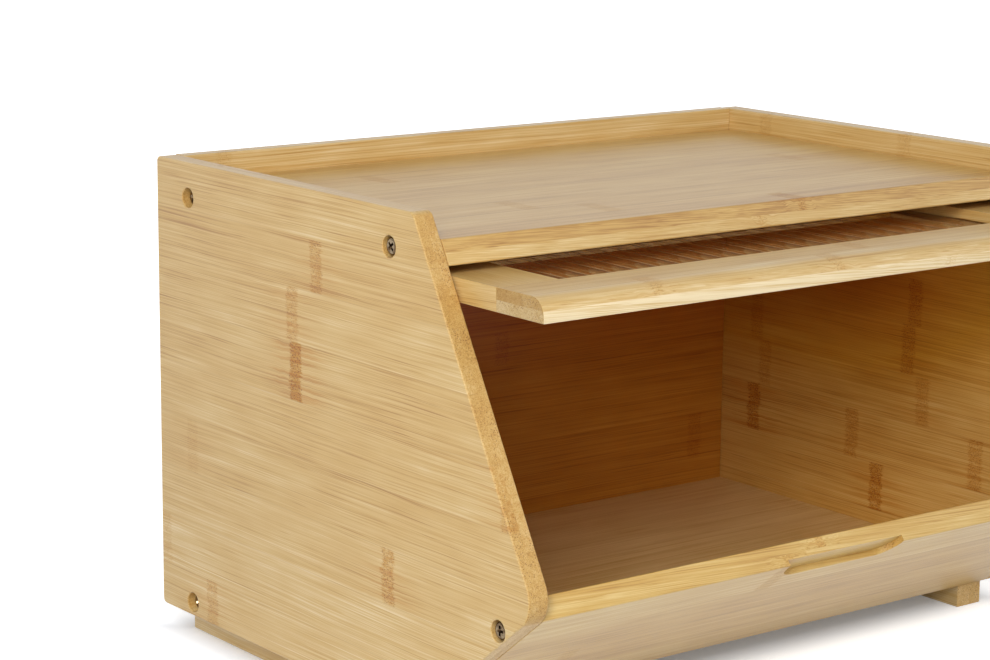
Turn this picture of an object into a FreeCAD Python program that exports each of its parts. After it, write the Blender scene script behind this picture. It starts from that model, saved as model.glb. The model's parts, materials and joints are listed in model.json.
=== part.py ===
"""Bamboo bread box with a tray top and a windowed flip-up door, as a parametric assembly.

The box stands on two runners.  Its side panels have a slanted front, which the door closes,
and an undercut nose, which the front apron closes.  The door hangs on two pins that ride in
nylon glides along a groove in each side panel, so it slides under the top shelf and swings.

Frame, in millimetres: X across the front, -Y towards the front, +Z up.  The origin is on the
floor, under the middle of the box.  The door is modelled level and half pushed in.
"""
import FreeCAD, Part
import math
import os
import re

import Sketcher
from FreeCAD import Placement, Rotation, Vector

# Driving dimensions in millimetres, angles in degrees.  "set" is a distance from an edge.
DIMENSIONS = {
    # side panels
    "box_width": 360.0,
    "box_depth": 284.4,
    "side_height": 215.7,
    "side_board": 10.0,
    "slant_angle": 60.8,
    "under_angle": 38.5,
    "nose_height": 65.9,
    "nose_radius": 13.0,
    "brow_radius": 4.0,
    "heel_radius": 2.5,
    "arris": 0.8,
    # boards between the sides
    "rim_height": 11.2,
    "shelf_board": 10.5,
    "back_board": 8.0,
    "floor_board": 10.0,
    "floor_lift": 1.5,
    "apron_board": 10.5,
    "notch_width": 71.0,
    "notch_height": 12.0,
    "notch_depth": 2.8,
    "notch_radius": 10.0,
    # runners
    "runner_stand": 12.0,
    "runner_width": 16.0,
    "runner_side_gap": 0.5,
    "runner_front_gap": 1.3,
    "runner_rear_set": 11.0,
    # door
    "door_board": 10.2,
    "door_side_gap": 1.0,
    "door_recess": 0.0,
    "door_lap": 2.0,
    "closing_gap": 0.25,
    "swing_gap": 1.1,
    "bottom_rail_width": 30.8,
    "top_rail_width": 24.0,
    "stile_width": 32.0,
    "rail_rounding": 8.0,
    # pane
    "pane_recess": 4.8,
    "pane_sheet": 2.0,
    "rib_rise": 1.2,
    "rib_pitch": 12.6,
    "rib_valley": 0.5,
    "pane_bite": 4.0,
    "pane_play": 0.5,
    "pane_slack": 0.1,
    # door mechanism
    "pivot_inset": 6.0,
    "pin_diameter": 4.0,
    "pin_bite": 16.0,
    "glide_diameter": 7.0,
    "glide_proud": 0.4,
    "running_gap": 0.1,
    "groove_gap": 0.2,
    "groove_depth": 5.2,
    "groove_end_gap": 0.4,
    "travel_rest": 70.7,
    "travel_full": 110.7,
    # screws
    "head_diameter": 8.0,
    "head_height": 2.4,
    "head_rounding": 1.6,
    "shank_diameter": 4.0,
    "tip_length": 5.0,
    "long_screw": 30.0,
    "short_screw": 15.0,
    "recess_span": 4.8,
    "recess_width": 1.0,
    "recess_depth": 1.4,
    "bore_gap": 0.7,
    "shank_gap": 0.15,
    "pilot_end_gap": 1.0,
    "deep_sink": 5.4,
    "shallow_sink": 3.4,
    "back_sink": 3.0,
    "screw_rear_set": 27.6,
    "shelf_screw_front_set": 28.7,
    "floor_screw_front_set": 24.9,
    "apron_screw_upper_set": 17.3,
    "apron_screw_lower_set": 78.0,
    "back_screw_side_set": 50.0,
    "runner_screw_set": 30.0,
    "runner_screw_bite": 7.5,
    # dowels
    "dowel_diameter": 5.0,
    "dowel_length": 20.0,
    "dowel_bite": 6.0,
    "dowel_end_gap": 0.5,
    "dowel_chamfer": 0.5,
    "back_dowel_low": 60.0,
    "back_dowel_high": 150.0,
}

# Places and sizes that follow from the driving dimensions.
DERIVED = {
    # side panel outline
    "half_depth": "box_depth / 2",
    "inside_half": "box_width / 2 - side_board",
    "nose_loss": "nose_radius * ((cos(slant_angle) + cos(under_angle))"
                 " / sin(slant_angle + under_angle) - 1)",
    "apex_y": "half_depth - box_depth - nose_loss",
    "apex_z": "runner_stand + nose_height",
    "top_z": "runner_stand + side_height",
    "brow_y": "apex_y + (top_z - apex_z) / tan(slant_angle)",
    "foot_y": "apex_y + nose_height / tan(under_angle)",
    # shelf, back and floor
    "shelf_top": "top_z - rim_height",
    "shelf_under": "shelf_top - shelf_board",
    "shelf_middle": "shelf_top - shelf_board / 2",
    "shelf_top_y": "brow_y - rim_height / tan(slant_angle)",
    "shelf_under_y": "shelf_top_y - shelf_board / tan(slant_angle)",
    "back_face": "half_depth - back_board",
    "floor_under": "runner_stand + floor_lift",
    "floor_top": "floor_under + floor_board",
    "floor_middle": "floor_under + floor_board / 2",
    "boards_middle": "(back_face + shelf_under_y) / 2",
    # apron, from the corner of its top edge and its outer face
    "lap_gap": "closing_gap + door_lap * tan(slant_angle + under_angle - 90)",
    "apron_set": "(door_board + door_recess + lap_gap + apron_board * cos(slant_angle + under_angle))"
                 " / sin(slant_angle + under_angle)",
    "apron_y": "apex_y + apron_set * cos(under_angle)",
    "apron_z": "apex_z - apron_set * sin(under_angle)",
    "apron_length": "nose_height / sin(under_angle) - apron_set",
    "apron_rise": "apron_board * cos(under_angle)",
    "apron_run": "apron_board * sin(under_angle)",
    "heel_y": "foot_y + apron_run",
    "heel_z": "runner_stand + apron_rise",
    "floor_top_y": "heel_y - (floor_top - heel_z) / tan(under_angle)",
    "floor_under_y": "heel_y - (floor_under - heel_z) / tan(under_angle)",
    # runners
    "runner_outer": "inside_half - runner_side_gap",
    "runner_inner": "runner_outer - runner_width",
    "runner_middle": "(runner_inner + runner_outer) / 2",
    "runner_front": "foot_y + runner_front_gap + floor_lift * tan(under_angle)",
    "runner_rear": "half_depth - runner_rear_set",
    # door, level and half pushed in
    "door_half": "inside_half - door_side_gap",
    "swing_radius": "sqrt(pivot_inset * pivot_inset + door_board * door_board / 4)",
    "pivot_z": "shelf_under - swing_radius - swing_gap",
    "pivot_closed_y": "apex_y + (pivot_z - apex_z) / tan(slant_angle)"
                      " + (door_board / 2 + door_recess) / sin(slant_angle)",
    "pivot_y": "pivot_closed_y + travel_rest",
    "door_reach": "(pivot_closed_y - apron_y - apron_run) * cos(slant_angle)"
                  " + (pivot_z - apron_z - apron_rise) * sin(slant_angle) + door_lap",
    "door_top": "pivot_z + door_board / 2",
    "door_under": "pivot_z - door_board / 2",
    "door_front": "pivot_y - door_reach",
    "door_rear": "pivot_y + pivot_inset",
    "window_front": "door_front + bottom_rail_width",
    "window_rear": "door_rear - top_rail_width",
    "window_half": "door_half - stile_width",
    "stile_middle": "door_half - stile_width / 2",
    # pane and the rebate that holds it
    "rebate_depth": "pane_bite + pane_play",
    "rebate_half": "window_half + rebate_depth",
    "pane_top": "door_top - pane_recess",
    "sheet_top": "pane_top - rib_rise",
    "pane_under": "sheet_top - pane_sheet",
    "pane_half": "window_half + pane_bite",
    "rib_width": "rib_pitch - rib_valley",
    # mechanism
    "groove_width": "glide_diameter + 2 * groove_gap",
    "glide_inner": "inside_half - glide_proud",
    "glide_outer": "inside_half + groove_depth - groove_end_gap",
    # fixings
    "runner_screw_seat": "floor_under + runner_screw_bite - short_screw",
    "bore_diameter": "head_diameter + 2 * bore_gap",
    "shank_hole": "shank_diameter + 2 * shank_gap",
    "dowel_tail": "dowel_length - dowel_bite",
    "recess_half": "recess_span / 2",
    "recess_thin": "recess_width / 2",
}

SIDES = (("left", -1), ("right", 1))
TOLERANCE = 1e-4

doc = FreeCAD.newDocument("BreadBox")
sheet = doc.addObject("Spreadsheet::Sheet", "Dims")
for row, (alias, number) in enumerate(DIMENSIONS.items(), start=1):
    sheet.set(f"A{row}", str(number))
    sheet.setAlias(f"A{row}", alias)
doc.recompute()


def bound(expression):
    """The expression with each derived name written out and each alias given its sheet."""
    def replace(match):
        word = match.group(0)
        if word in DERIVED:
            return f"({bound(DERIVED[word])})"
        return f"Dims.{word}" if word in DIMENSIONS else word
    return re.sub(r"[a-z][a-z_]*", replace, expression)


def value(expression):
    """The number that the expression comes to."""
    return float(sheet.evalExpression(bound(expression)))


def flip(expression, side):
    """The expression on the right side, its negative on the left."""
    return expression if side > 0 else f"-({expression})"


# --- sketches and features -------------------------------------------------------------------

def new_body(label):
    """A PartDesign body whose label is the sub-part's name."""
    body = doc.addObject("PartDesign::Body", label)
    body.Label = label
    return body


def sketch_on(body, role, offset="0"):
    """A sketch on one of the body's own origin planes, moved along that plane's normal."""
    sketch = body.newObject("Sketcher::SketchObject", "Sketch")
    plane = next(item for item in body.Origin.OriginFeatures if item.Role == role)
    sketch.AttachmentSupport = [(plane, "")]
    sketch.MapMode = "FlatFace"
    sketch.setExpression("AttachmentOffset.Base.z", bound(offset))
    return sketch


def fix(sketch, kind, elements, expression):
    """A dimension in the sketch, bound to the sheet."""
    row = sketch.addConstraint(Sketcher.Constraint(kind, *elements, value(expression)))
    sketch.setExpression(f"Constraints[{row}]", bound(expression))


def fix_point(sketch, element, point, place):
    """A point of the sketch held at a place given by two expressions."""
    fix(sketch, "DistanceX", (-1, 1, element, point), place[0])
    fix(sketch, "DistanceY", (-1, 1, element, point), place[1])


def draw_polygon(sketch, corners):
    """A closed outline of straight edges through the corners."""
    points = [Vector(value(a), value(b), 0) for a, b in corners]
    count = len(points)
    first = sketch.GeometryCount
    for index in range(count):
        sketch.addGeometry(Part.LineSegment(points[index], points[(index + 1) % count]))
    for index in range(count):
        following = first + (index + 1) % count
        sketch.addConstraint(Sketcher.Constraint("Coincident", first + index, 2, following, 1))
    for index, place in enumerate(corners):
        fix_point(sketch, first + index, 1, place)


def draw_circle(sketch, centre, diameter):
    """A circle of the given diameter about a centre."""
    middle = Vector(value(centre[0]), value(centre[1]), 0)
    element = sketch.addGeometry(Part.Circle(middle, Vector(0, 0, 1), value(diameter) / 2))
    fix_point(sketch, element, 3, centre)
    fix(sketch, "Diameter", (element,), diameter)


def draw_slot(sketch, start, end, width):
    """A slot with round ends, from one centre to another further along the sketch's X."""
    radius = value(width) / 2
    centres = [Vector(value(a), value(b), 0) for a, b in (start, end)]
    up = Vector(0, radius, 0)
    for centre, turn in zip(centres, (math.pi / 2, -math.pi / 2)):
        circle = Part.Circle(centre, Vector(0, 0, 1), radius)
        sketch.addGeometry(Part.ArcOfCircle(circle, turn, turn + math.pi))
    sketch.addGeometry(Part.LineSegment(centres[0] + up, centres[1] + up))
    sketch.addGeometry(Part.LineSegment(centres[0] - up, centres[1] - up))
    for arc, arc_end, line, line_end in ((0, 1, 2, 1), (1, 2, 2, 2), (0, 2, 3, 1), (1, 1, 3, 2)):
        sketch.addConstraint(Sketcher.Constraint("Tangent", arc, arc_end, line, line_end))
    sketch.addConstraint(Sketcher.Constraint("Equal", 0, 1))
    fix(sketch, "Radius", (0,), f"({width}) / 2")
    fix_point(sketch, 0, 3, start)
    fix_point(sketch, 1, 3, end)


def pad(body, sketch, length, backwards=False):
    """Material along the sketch's normal, or against it."""
    feature = body.newObject("PartDesign::Pad", "Pad")
    feature.Profile = sketch
    feature.Reversed = backwards
    feature.setExpression("Length", bound(length))
    doc.recompute()
    return feature


def pocket(body, sketch, depth, forwards=False):
    """A cut against the sketch's normal, or along it, that must take material away."""
    before = body.Shape.Volume
    feature = body.newObject("PartDesign::Pocket", "Pocket")
    feature.Profile = sketch
    feature.Reversed = forwards
    feature.setExpression("Length", bound(depth))
    doc.recompute()
    if not body.Shape.Volume < before - TOLERANCE:
        raise RuntimeError(f"{body.Label}: {feature.Name} cuts nothing")
    return feature


def drill(body, role, face, places, diameter, depth, forwards=False):
    """Round holes from a face into the body."""
    sketch = sketch_on(body, role, face)
    for place in places:
        draw_circle(sketch, place, diameter)
    return pocket(body, sketch, depth, forwards)


def edges_of(body, test):
    """The names of the body's edges that pass a test on their end points."""
    return [f"Edge{number}" for number, edge in enumerate(body.Shape.Edges, start=1)
            if test([vertex.Point for vertex in edge.Vertexes])]


def at(**places):
    """A test for an edge whose end points all have the given coordinates."""
    numbers = {axis: value(place) for axis, place in places.items()}

    def test(points):
        return all(abs(getattr(point, axis) - number) < TOLERANCE
                   for point in points for axis, number in numbers.items())
    return test


def edges_along_x(body, corners):
    """The body's edges along X that pass through the given corners of its Y and Z section."""
    return [edge for y, z in corners for edge in edges_of(body, at(y=y, z=z))]


def dress(body, kind, edges, size):
    """A fillet or a chamfer on the body's last feature."""
    dressed = body.Tip
    feature = body.newObject(f"PartDesign::{kind}", kind)
    feature.Base = (dressed, edges)
    feature.setExpression("Radius" if kind == "Fillet" else "Size", bound(size))
    doc.recompute()
    return feature


def board_along_x(label, corners, half):
    """A board of constant section in Y and Z, centred on X."""
    body = new_body(label)
    sketch = sketch_on(body, "YZ_Plane", f"-({half})")
    draw_polygon(sketch, corners)
    pad(body, sketch, f"2 * ({half})")
    return body


def block(label, lows, highs):
    """A square-edged bar between two opposite corners."""
    body = new_body(label)
    sketch = sketch_on(body, "YZ_Plane", lows[0])
    (y0, z0), (y1, z1) = lows[1:], highs[1:]
    draw_polygon(sketch, ((y0, z0), (y1, z0), (y1, z1), (y0, z1)))
    pad(body, sketch, f"({highs[0]}) - ({lows[0]})")
    return body


# --- fixings ---------------------------------------------------------------------------------

def screw(label, length):
    """A cross-recessed screw along Z: the seat of its head at the origin, its point below."""
    body = new_body(label)
    profile = sketch_on(body, "XZ_Plane")
    draw_polygon(profile, (
        ("0", "head_height"),
        ("head_diameter / 2", "head_height"),
        ("head_diameter / 2", "0"),
        ("shank_diameter / 2", "0"),
        ("shank_diameter / 2", f"tip_length - {length}"),
        ("0", f"-{length}"),
    ))
    turned = body.newObject("PartDesign::Revolution", "Revolution")
    turned.Profile = profile
    turned.ReferenceAxis = (profile, ["V_Axis"])
    turned.Angle = 360
    doc.recompute()
    dress(body, "Fillet", edges_of(body, at(z="head_height")), "head_rounding")
    far, near = "recess_half", "recess_thin"
    cross = ((far, near), (near, near), (near, far))
    corners = [*cross]
    corners += [(f"-{a}", b) for a, b in reversed(cross)]
    corners += [(f"-{a}", f"-{b}") for a, b in cross]
    corners += [(a, f"-{b}") for a, b in reversed(cross)]
    recess = sketch_on(body, "XY_Plane", "head_height")
    draw_polygon(recess, corners)
    pocket(body, recess, "recess_depth")
    return body


def dowel():
    """A wooden dowel along Z, with its lower end at the origin."""
    body = new_body("dowel_pattern")
    sketch = sketch_on(body, "XY_Plane")
    draw_circle(sketch, ("0", "0"), "dowel_diameter")
    pad(body, sketch, "dowel_length")
    rims = edges_of(body, at(z="0")) + edges_of(body, at(z="dowel_length"))
    dress(body, "Chamfer", rims, "dowel_chamfer")
    return body


def group(label, pattern, direction, places):
    """Copies of one fixing, each with its Z turned to a direction, as one sub-part."""
    turn = Rotation(Vector(0, 0, 1), Vector(*direction))
    copies = []
    for place in places:
        copy = pattern.Shape.copy()
        copy.Placement = Placement(Vector(*(value(part) for part in place)), turn)
        copies.append(copy)
    feature = doc.addObject("Part::Feature", label)
    feature.Label = label
    feature.Shape = Part.makeCompound(copies)
    feature.Placement = Placement()
    return feature


# Places in Y and Z where each side panel is fixed to the boards between the two.
SHELF_SCREWS = {
    "rear": ("half_depth - screw_rear_set", "shelf_middle"),
    "front": ("shelf_under_y + shelf_screw_front_set", "shelf_middle"),
}
FLOOR_SCREWS = {
    "rear": ("half_depth - screw_rear_set", "floor_middle"),
    "front": ("floor_under_y + floor_screw_front_set", "floor_middle"),
}
SHELF_DOWEL = ("boards_middle", "shelf_middle")
FLOOR_DOWEL = ("boards_middle", "floor_middle")
BACK_DOWELS = (
    ("half_depth - back_board / 2", "runner_stand + back_dowel_low"),
    ("half_depth - back_board / 2", "runner_stand + back_dowel_high"),
)
APRON_SCREW_SETS = ("apron_screw_upper_set", "apron_screw_lower_set")
DEEP_PILOT = "long_screw + deep_sink - side_board + pilot_end_gap"
SHALLOW_PILOT = "long_screw + shallow_sink - side_board + pilot_end_gap"
BACK_PILOT = "long_screw + back_sink - back_board + pilot_end_gap"
BACK_SCREW_XS = ("-(inside_half - back_screw_side_set)", "0", "inside_half - back_screw_side_set")


def apron_place(along):
    """The Y and Z of a point at the middle of the apron's thickness, down from its top edge."""
    return (f"apron_y + {along} * cos(under_angle) + apron_run / 2",
            f"apron_z - {along} * sin(under_angle) + apron_rise / 2")


# --- carcass ---------------------------------------------------------------------------------

def side_panel(name, side):
    """A side panel: slanted front, undercut nose, glide groove, screw bores and dowel holes."""
    body = new_body(f"{name}_side_panel")
    inner = flip("inside_half", side)
    outer = flip("box_width / 2", side)
    sketch = sketch_on(body, "YZ_Plane", inner if side > 0 else outer)
    heels = (("half_depth", "runner_stand"), ("half_depth", "top_z"))
    brow, apex = ("brow_y", "top_z"), ("apex_y", "apex_z")
    draw_polygon(sketch, (*heels, brow, apex, ("foot_y", "runner_stand")))
    pad(body, sketch, "side_board")
    for corners, radius in (((apex,), "nose_radius"), ((brow,), "brow_radius"), (heels, "heel_radius")):
        dress(body, "Fillet", edges_along_x(body, corners), radius)
    rims = edges_of(body, at(x=inner)) + edges_of(body, at(x=outer))
    dress(body, "Fillet", rims, "arris")

    groove = sketch_on(body, "YZ_Plane", inner)
    groove_rear = ("pivot_closed_y + travel_full", "pivot_z")
    draw_slot(groove, ("pivot_closed_y", "pivot_z"), groove_rear, "groove_width")
    pocket(body, groove, "groove_depth", forwards=side > 0)

    deep = (SHELF_SCREWS["rear"], FLOOR_SCREWS["rear"])
    shallow = (SHELF_SCREWS["front"], FLOOR_SCREWS["front"], *map(apron_place, APRON_SCREW_SETS))
    drill(body, "YZ_Plane", outer, deep, "bore_diameter", "deep_sink", forwards=side < 0)
    drill(body, "YZ_Plane", outer, shallow, "bore_diameter", "shallow_sink", forwards=side < 0)
    drill(body, "YZ_Plane", outer, deep + shallow, "shank_hole", "side_board", forwards=side < 0)
    dowels = (SHELF_DOWEL, FLOOR_DOWEL, *BACK_DOWELS)
    depth = "dowel_bite + dowel_end_gap"
    drill(body, "YZ_Plane", inner, dowels, "dowel_diameter", depth, forwards=side > 0)
    return body


def drill_ends(body, places, diameter, depth):
    """The same holes in both ends of a board that fits between the side panels."""
    for _, side in SIDES:
        end = flip("inside_half", side)
        drill(body, "YZ_Plane", end, places, diameter, depth, forwards=side < 0)


def top_shelf():
    """The shelf board, its front edge bevelled to the slant of the sides."""
    body = board_along_x("top_shelf", (
        ("back_face", "shelf_under"),
        ("back_face", "shelf_top"),
        ("shelf_top_y", "shelf_top"),
        ("shelf_under_y", "shelf_under"),
    ), "inside_half")
    corners = (("shelf_top_y", "shelf_top"), ("shelf_under_y", "shelf_under"))
    dress(body, "Fillet", edges_along_x(body, corners), "arris")
    drill_ends(body, (SHELF_SCREWS["rear"],), "shank_diameter", DEEP_PILOT)
    drill_ends(body, (SHELF_SCREWS["front"],), "shank_diameter", SHALLOW_PILOT)
    drill_ends(body, (SHELF_DOWEL,), "dowel_diameter", "dowel_tail + dowel_end_gap")
    pilots = [(x, "shelf_middle") for x in BACK_SCREW_XS]
    drill(body, "XZ_Plane", "-back_face", pilots, "shank_diameter", BACK_PILOT, forwards=True)
    return body


def floor_board():
    """The floor of the compartment, its front edge bevelled to lie on the apron."""
    body = board_along_x("bottom_board", (
        ("back_face", "floor_under"),
        ("back_face", "floor_top"),
        ("floor_top_y", "floor_top"),
        ("floor_under_y", "floor_under"),
    ), "inside_half")
    drill_ends(body, (FLOOR_SCREWS["rear"],), "shank_diameter", DEEP_PILOT)
    drill_ends(body, (FLOOR_SCREWS["front"],), "shank_diameter", SHALLOW_PILOT)
    drill_ends(body, (FLOOR_DOWEL,), "dowel_diameter", "dowel_tail + dowel_end_gap")
    pilots = [(x, "floor_middle") for x in BACK_SCREW_XS]
    drill(body, "XZ_Plane", "-back_face", pilots, "shank_diameter", BACK_PILOT, forwards=True)
    drill(body, "XY_Plane", "floor_under", RUNNER_SCREWS, "shank_diameter",
          "runner_screw_bite + pilot_end_gap", forwards=True)
    return body


def back_panel():
    """The back, between the sides and level with their tops."""
    body = board_along_x("back_panel", (
        ("back_face", "runner_stand"),
        ("half_depth", "runner_stand"),
        ("half_depth", "top_z"),
        ("back_face", "top_z"),
    ), "inside_half")
    corners = (("back_face", "top_z"), ("half_depth", "top_z"))
    dress(body, "Fillet", edges_along_x(body, corners), "arris")
    drill_ends(body, BACK_DOWELS, "dowel_diameter", "dowel_tail + dowel_end_gap")
    places = [(x, z) for z in ("shelf_middle", "floor_middle") for x in BACK_SCREW_XS]
    drill(body, "XZ_Plane", "-half_depth", places, "bore_diameter", "back_sink", forwards=True)
    drill(body, "XZ_Plane", "-half_depth", places, "shank_hole", "back_board", forwards=True)
    return body


def front_apron():
    """The board that closes the undercut nose, with a finger notch in its upper edge.

    It is drawn flat, its outer face on the XY plane with the upper edge on the X axis,
    and its placement tilts it under the nose.
    """
    body = new_body("front_apron")
    sketch = sketch_on(body, "XY_Plane")
    left, right = "-inside_half", "inside_half"
    low, high = "-apron_length", "0"
    draw_polygon(sketch, ((left, low), (right, low), (right, high), (left, high)))
    pad(body, sketch, "apron_board", backwards=True)
    dress(body, "Fillet", edges_along_x(body, ((high, "0"), (low, "0"))), "arris")

    notch = sketch_on(body, "XY_Plane")
    bottom, start, end = "-notch_height", "-notch_width / 2", "notch_width / 2"
    draw_polygon(notch, ((start, bottom), (end, bottom), (end, "arris"), (start, "arris")))
    pocket(body, notch, "notch_depth")
    rounded = edges_of(body, at(x=start, y=bottom)) + edges_of(body, at(x=end, y=bottom))
    dress(body, "Fillet", rounded, "notch_radius")

    places = [(f"-{along}", "-apron_board / 2") for along in APRON_SCREW_SETS]
    drill_ends(body, places, "shank_diameter", SHALLOW_PILOT)
    body.Placement = Placement(Vector(0, value("apron_y"), value("apron_z")),
                               Rotation(Vector(1, 0, 0), value("180 - under_angle")))
    body.setExpression("Placement.Base.y", bound("apron_y"))
    body.setExpression("Placement.Base.z", bound("apron_z"))
    body.setExpression("Placement.Rotation.Angle", bound("180 - under_angle"))
    doc.recompute()
    return body


RUNNER_SCREW_YS = ("runner_front + runner_screw_set", "runner_rear - runner_screw_set")
RUNNER_SCREWS = [(flip("runner_middle", side), y) for _, side in SIDES for y in RUNNER_SCREW_YS]


def runner(name, side):
    """A runner under the floor, from front to back, with two screw bores from below."""
    inner, outer = flip("runner_inner", side), flip("runner_outer", side)
    low, high = (inner, outer) if side > 0 else (outer, inner)
    body = block(f"{name}_runner", (low, "runner_front", "0"), (high, "runner_rear", "floor_under"))
    dress(body, "Fillet", edges_of(body, at(z="0")), "arris")
    places = [(flip("runner_middle", side), y) for y in RUNNER_SCREW_YS]
    drill(body, "XY_Plane", "0", places, "bore_diameter", "runner_screw_seat", forwards=True)
    drill(body, "XY_Plane", "0", places, "shank_hole", "floor_under", forwards=True)
    return body


def carcass_fixings(long_pattern, short_pattern, dowel_pattern):
    """The screws and dowels of the carcass."""
    for name, side in SIDES:
        outwards = (side, 0, 0)
        face = "box_width / 2"
        screws = [(flip(f"{face} - deep_sink", side), *SHELF_SCREWS["rear"]),
                  (flip(f"{face} - deep_sink", side), *FLOOR_SCREWS["rear"])]
        screws += [(flip(f"{face} - shallow_sink", side), *place) for place in (
            SHELF_SCREWS["front"], FLOOR_SCREWS["front"], *map(apron_place, APRON_SCREW_SETS))]
        yield group(f"{name}_side_screws", long_pattern, outwards, screws)
        tails = [(flip("inside_half - dowel_tail", side), *place)
                 for place in (SHELF_DOWEL, FLOOR_DOWEL, *BACK_DOWELS)]
        yield group(f"{name}_side_dowels", dowel_pattern, outwards, tails)
    places = [(x, "half_depth - back_sink", z)
              for z in ("shelf_middle", "floor_middle") for x in BACK_SCREW_XS]
    yield group("back_screws", long_pattern, (0, 1, 0), places)
    places = [(*place, "runner_screw_seat") for place in RUNNER_SCREWS]
    yield group("runner_screws", short_pattern, (0, 0, -1), places)


# --- door ------------------------------------------------------------------------------------

def rebate(body, low, high, role, face, forwards):
    """The rebate for the pane's edge, between two places along a member's edge."""
    sketch = sketch_on(body, role, face)
    under, top = "pane_under - pane_slack", "pane_top + pane_slack"
    draw_polygon(sketch, ((low, under), (high, under), (high, top), (low, top)))
    pocket(body, sketch, "rebate_depth", forwards)


def door_rail(label, front, rear, window, rebate_forwards, rounding):
    """A rail across the whole width of the door, with dowel holes for the two stiles."""
    body = block(label, ("-door_half", front, "door_under"), ("door_half", rear, "door_top"))
    outer = front if window == rear else rear
    upper = edges_of(body, at(y=outer, z="door_top"))
    dress(body, "Fillet", upper, rounding)
    dress(body, "Fillet", edges_of(body, at(y=outer, z="door_under")), "arris")
    rebate(body, "-rebate_half", "rebate_half", "XZ_Plane", f"-({window})", rebate_forwards)
    places = [(flip("stile_middle", side), "pivot_z") for _, side in SIDES]
    depth = "dowel_length / 2 + dowel_end_gap"
    drill(body, "XZ_Plane", f"-({window})", places, "dowel_diameter", depth, rebate_forwards)
    return body


def bottom_rail():
    """The rail that leads when the door slides out, with a rounded handling edge."""
    return door_rail("door_bottom_rail", "door_front", "window_front",
                     "window_front", True, "rail_rounding")


def top_rail():
    """The hidden rail that carries the two pivot pins in its ends."""
    body = door_rail("door_top_rail", "window_rear", "door_rear", "window_rear", False, "arris")
    for _, side in SIDES:
        drill(body, "YZ_Plane", flip("door_half", side), (("pivot_y", "pivot_z"),),
              "pin_diameter", "pin_bite", forwards=side < 0)
    return body


def door_stile(name, side):
    """A stile between the two rails, rebated for the pane and drilled for a dowel at each end."""
    inner, outer = flip("window_half", side), flip("door_half", side)
    low, high = (inner, outer) if side > 0 else (outer, inner)
    body = block(f"door_{name}_stile", (low, "window_front", "door_under"),
                 (high, "window_rear", "door_top"))
    rebate(body, "window_front", "window_rear", "YZ_Plane", inner, side > 0)
    place = ((flip("stile_middle", side), "pivot_z"),)
    depth = "dowel_length / 2 + dowel_end_gap"
    drill(body, "XZ_Plane", "-window_front", place, "dowel_diameter", depth)
    drill(body, "XZ_Plane", "-window_rear", place, "dowel_diameter", depth, forwards=True)
    return body


def door_pane():
    """The clear pane: a thin sheet with round ribs from front to back on its outer face."""
    body = new_body("door_pane")
    front, rear = "window_front - pane_bite", "window_rear + pane_bite"
    sheet_sketch = sketch_on(body, "YZ_Plane", "-pane_half")
    draw_polygon(sheet_sketch, ((front, "pane_under"), (rear, "pane_under"),
                                (rear, "sheet_top"), (front, "sheet_top")))
    pad(body, sheet_sketch, "2 * pane_half")

    count = math.floor(value("2 * pane_half / rib_pitch"))
    start = f"rib_pitch * (1 - {count}) / 2"
    rib_sketch = sketch_on(body, "XZ_Plane", f"-({rear})")
    draw_rib(rib_sketch, start)
    rib = pad(body, rib_sketch, f"({rear}) - ({front})")
    pattern = body.newObject("PartDesign::LinearPattern", "Ribs")
    pattern.Originals = [rib]
    pattern.Direction = (rib_sketch, ["H_Axis"])
    pattern.setExpression("Length", bound(f"rib_pitch * {count - 1}"))
    pattern.Occurrences = count
    body.Tip = pattern
    doc.recompute()
    return body


def draw_rib(sketch, middle):
    """The section of one rib: a low arc over a foot that is sunk in the sheet."""
    half = value("rib_width / 2")
    centre, crest = value(middle), value("pane_top")
    foot, sunk = value("sheet_top"), value("sheet_top - pane_sheet / 2")
    left, right = (f"{middle} - rib_width / 2", f"{middle} + rib_width / 2")
    arc = Part.Arc(Vector(centre - half, foot, 0), Vector(centre, crest, 0), Vector(centre + half, foot, 0))
    sketch.addGeometry(arc)
    ends = [Vector(centre + half, sunk, 0), Vector(centre - half, sunk, 0)]
    tops = [Vector(centre + half, foot, 0), Vector(centre - half, foot, 0)]
    sketch.addGeometry(Part.LineSegment(tops[0], ends[0]))
    sketch.addGeometry(Part.LineSegment(ends[0], ends[1]))
    sketch.addGeometry(Part.LineSegment(ends[1], tops[1]))
    right_end, left_end = arc_ends(sketch, centre)
    for pair in ((0, right_end, 1, 1), (1, 2, 2, 1), (2, 2, 3, 1), (3, 2, 0, left_end)):
        sketch.addConstraint(Sketcher.Constraint("Coincident", *pair))
    fix_point(sketch, 1, 1, (right, "sheet_top"))
    fix_point(sketch, 2, 1, (right, "sheet_top - pane_sheet / 2"))
    fix_point(sketch, 3, 1, (left, "sheet_top - pane_sheet / 2"))
    fix_point(sketch, 3, 2, (left, "sheet_top"))
    fix(sketch, "Radius", (0,), "(rib_width * rib_width / 4 + rib_rise * rib_rise) / (2 * rib_rise)")


def arc_ends(sketch, centre):
    """The end numbers of the sketch's first arc, its right end first."""
    return (1, 2) if sketch.getPoint(0, 1).x > centre else (2, 1)


def pivot_pin(name, side):
    """A steel pin from the end of the top rail into the glide."""
    body = new_body(f"{name}_pivot_pin")
    inner, outer = flip("door_half - pin_bite", side), flip("glide_outer", side)
    sketch = sketch_on(body, "YZ_Plane", inner if side > 0 else outer)
    draw_circle(sketch, ("pivot_y", "pivot_z"), "pin_diameter")
    pad(body, sketch, "glide_outer - door_half + pin_bite")
    return body


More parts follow.
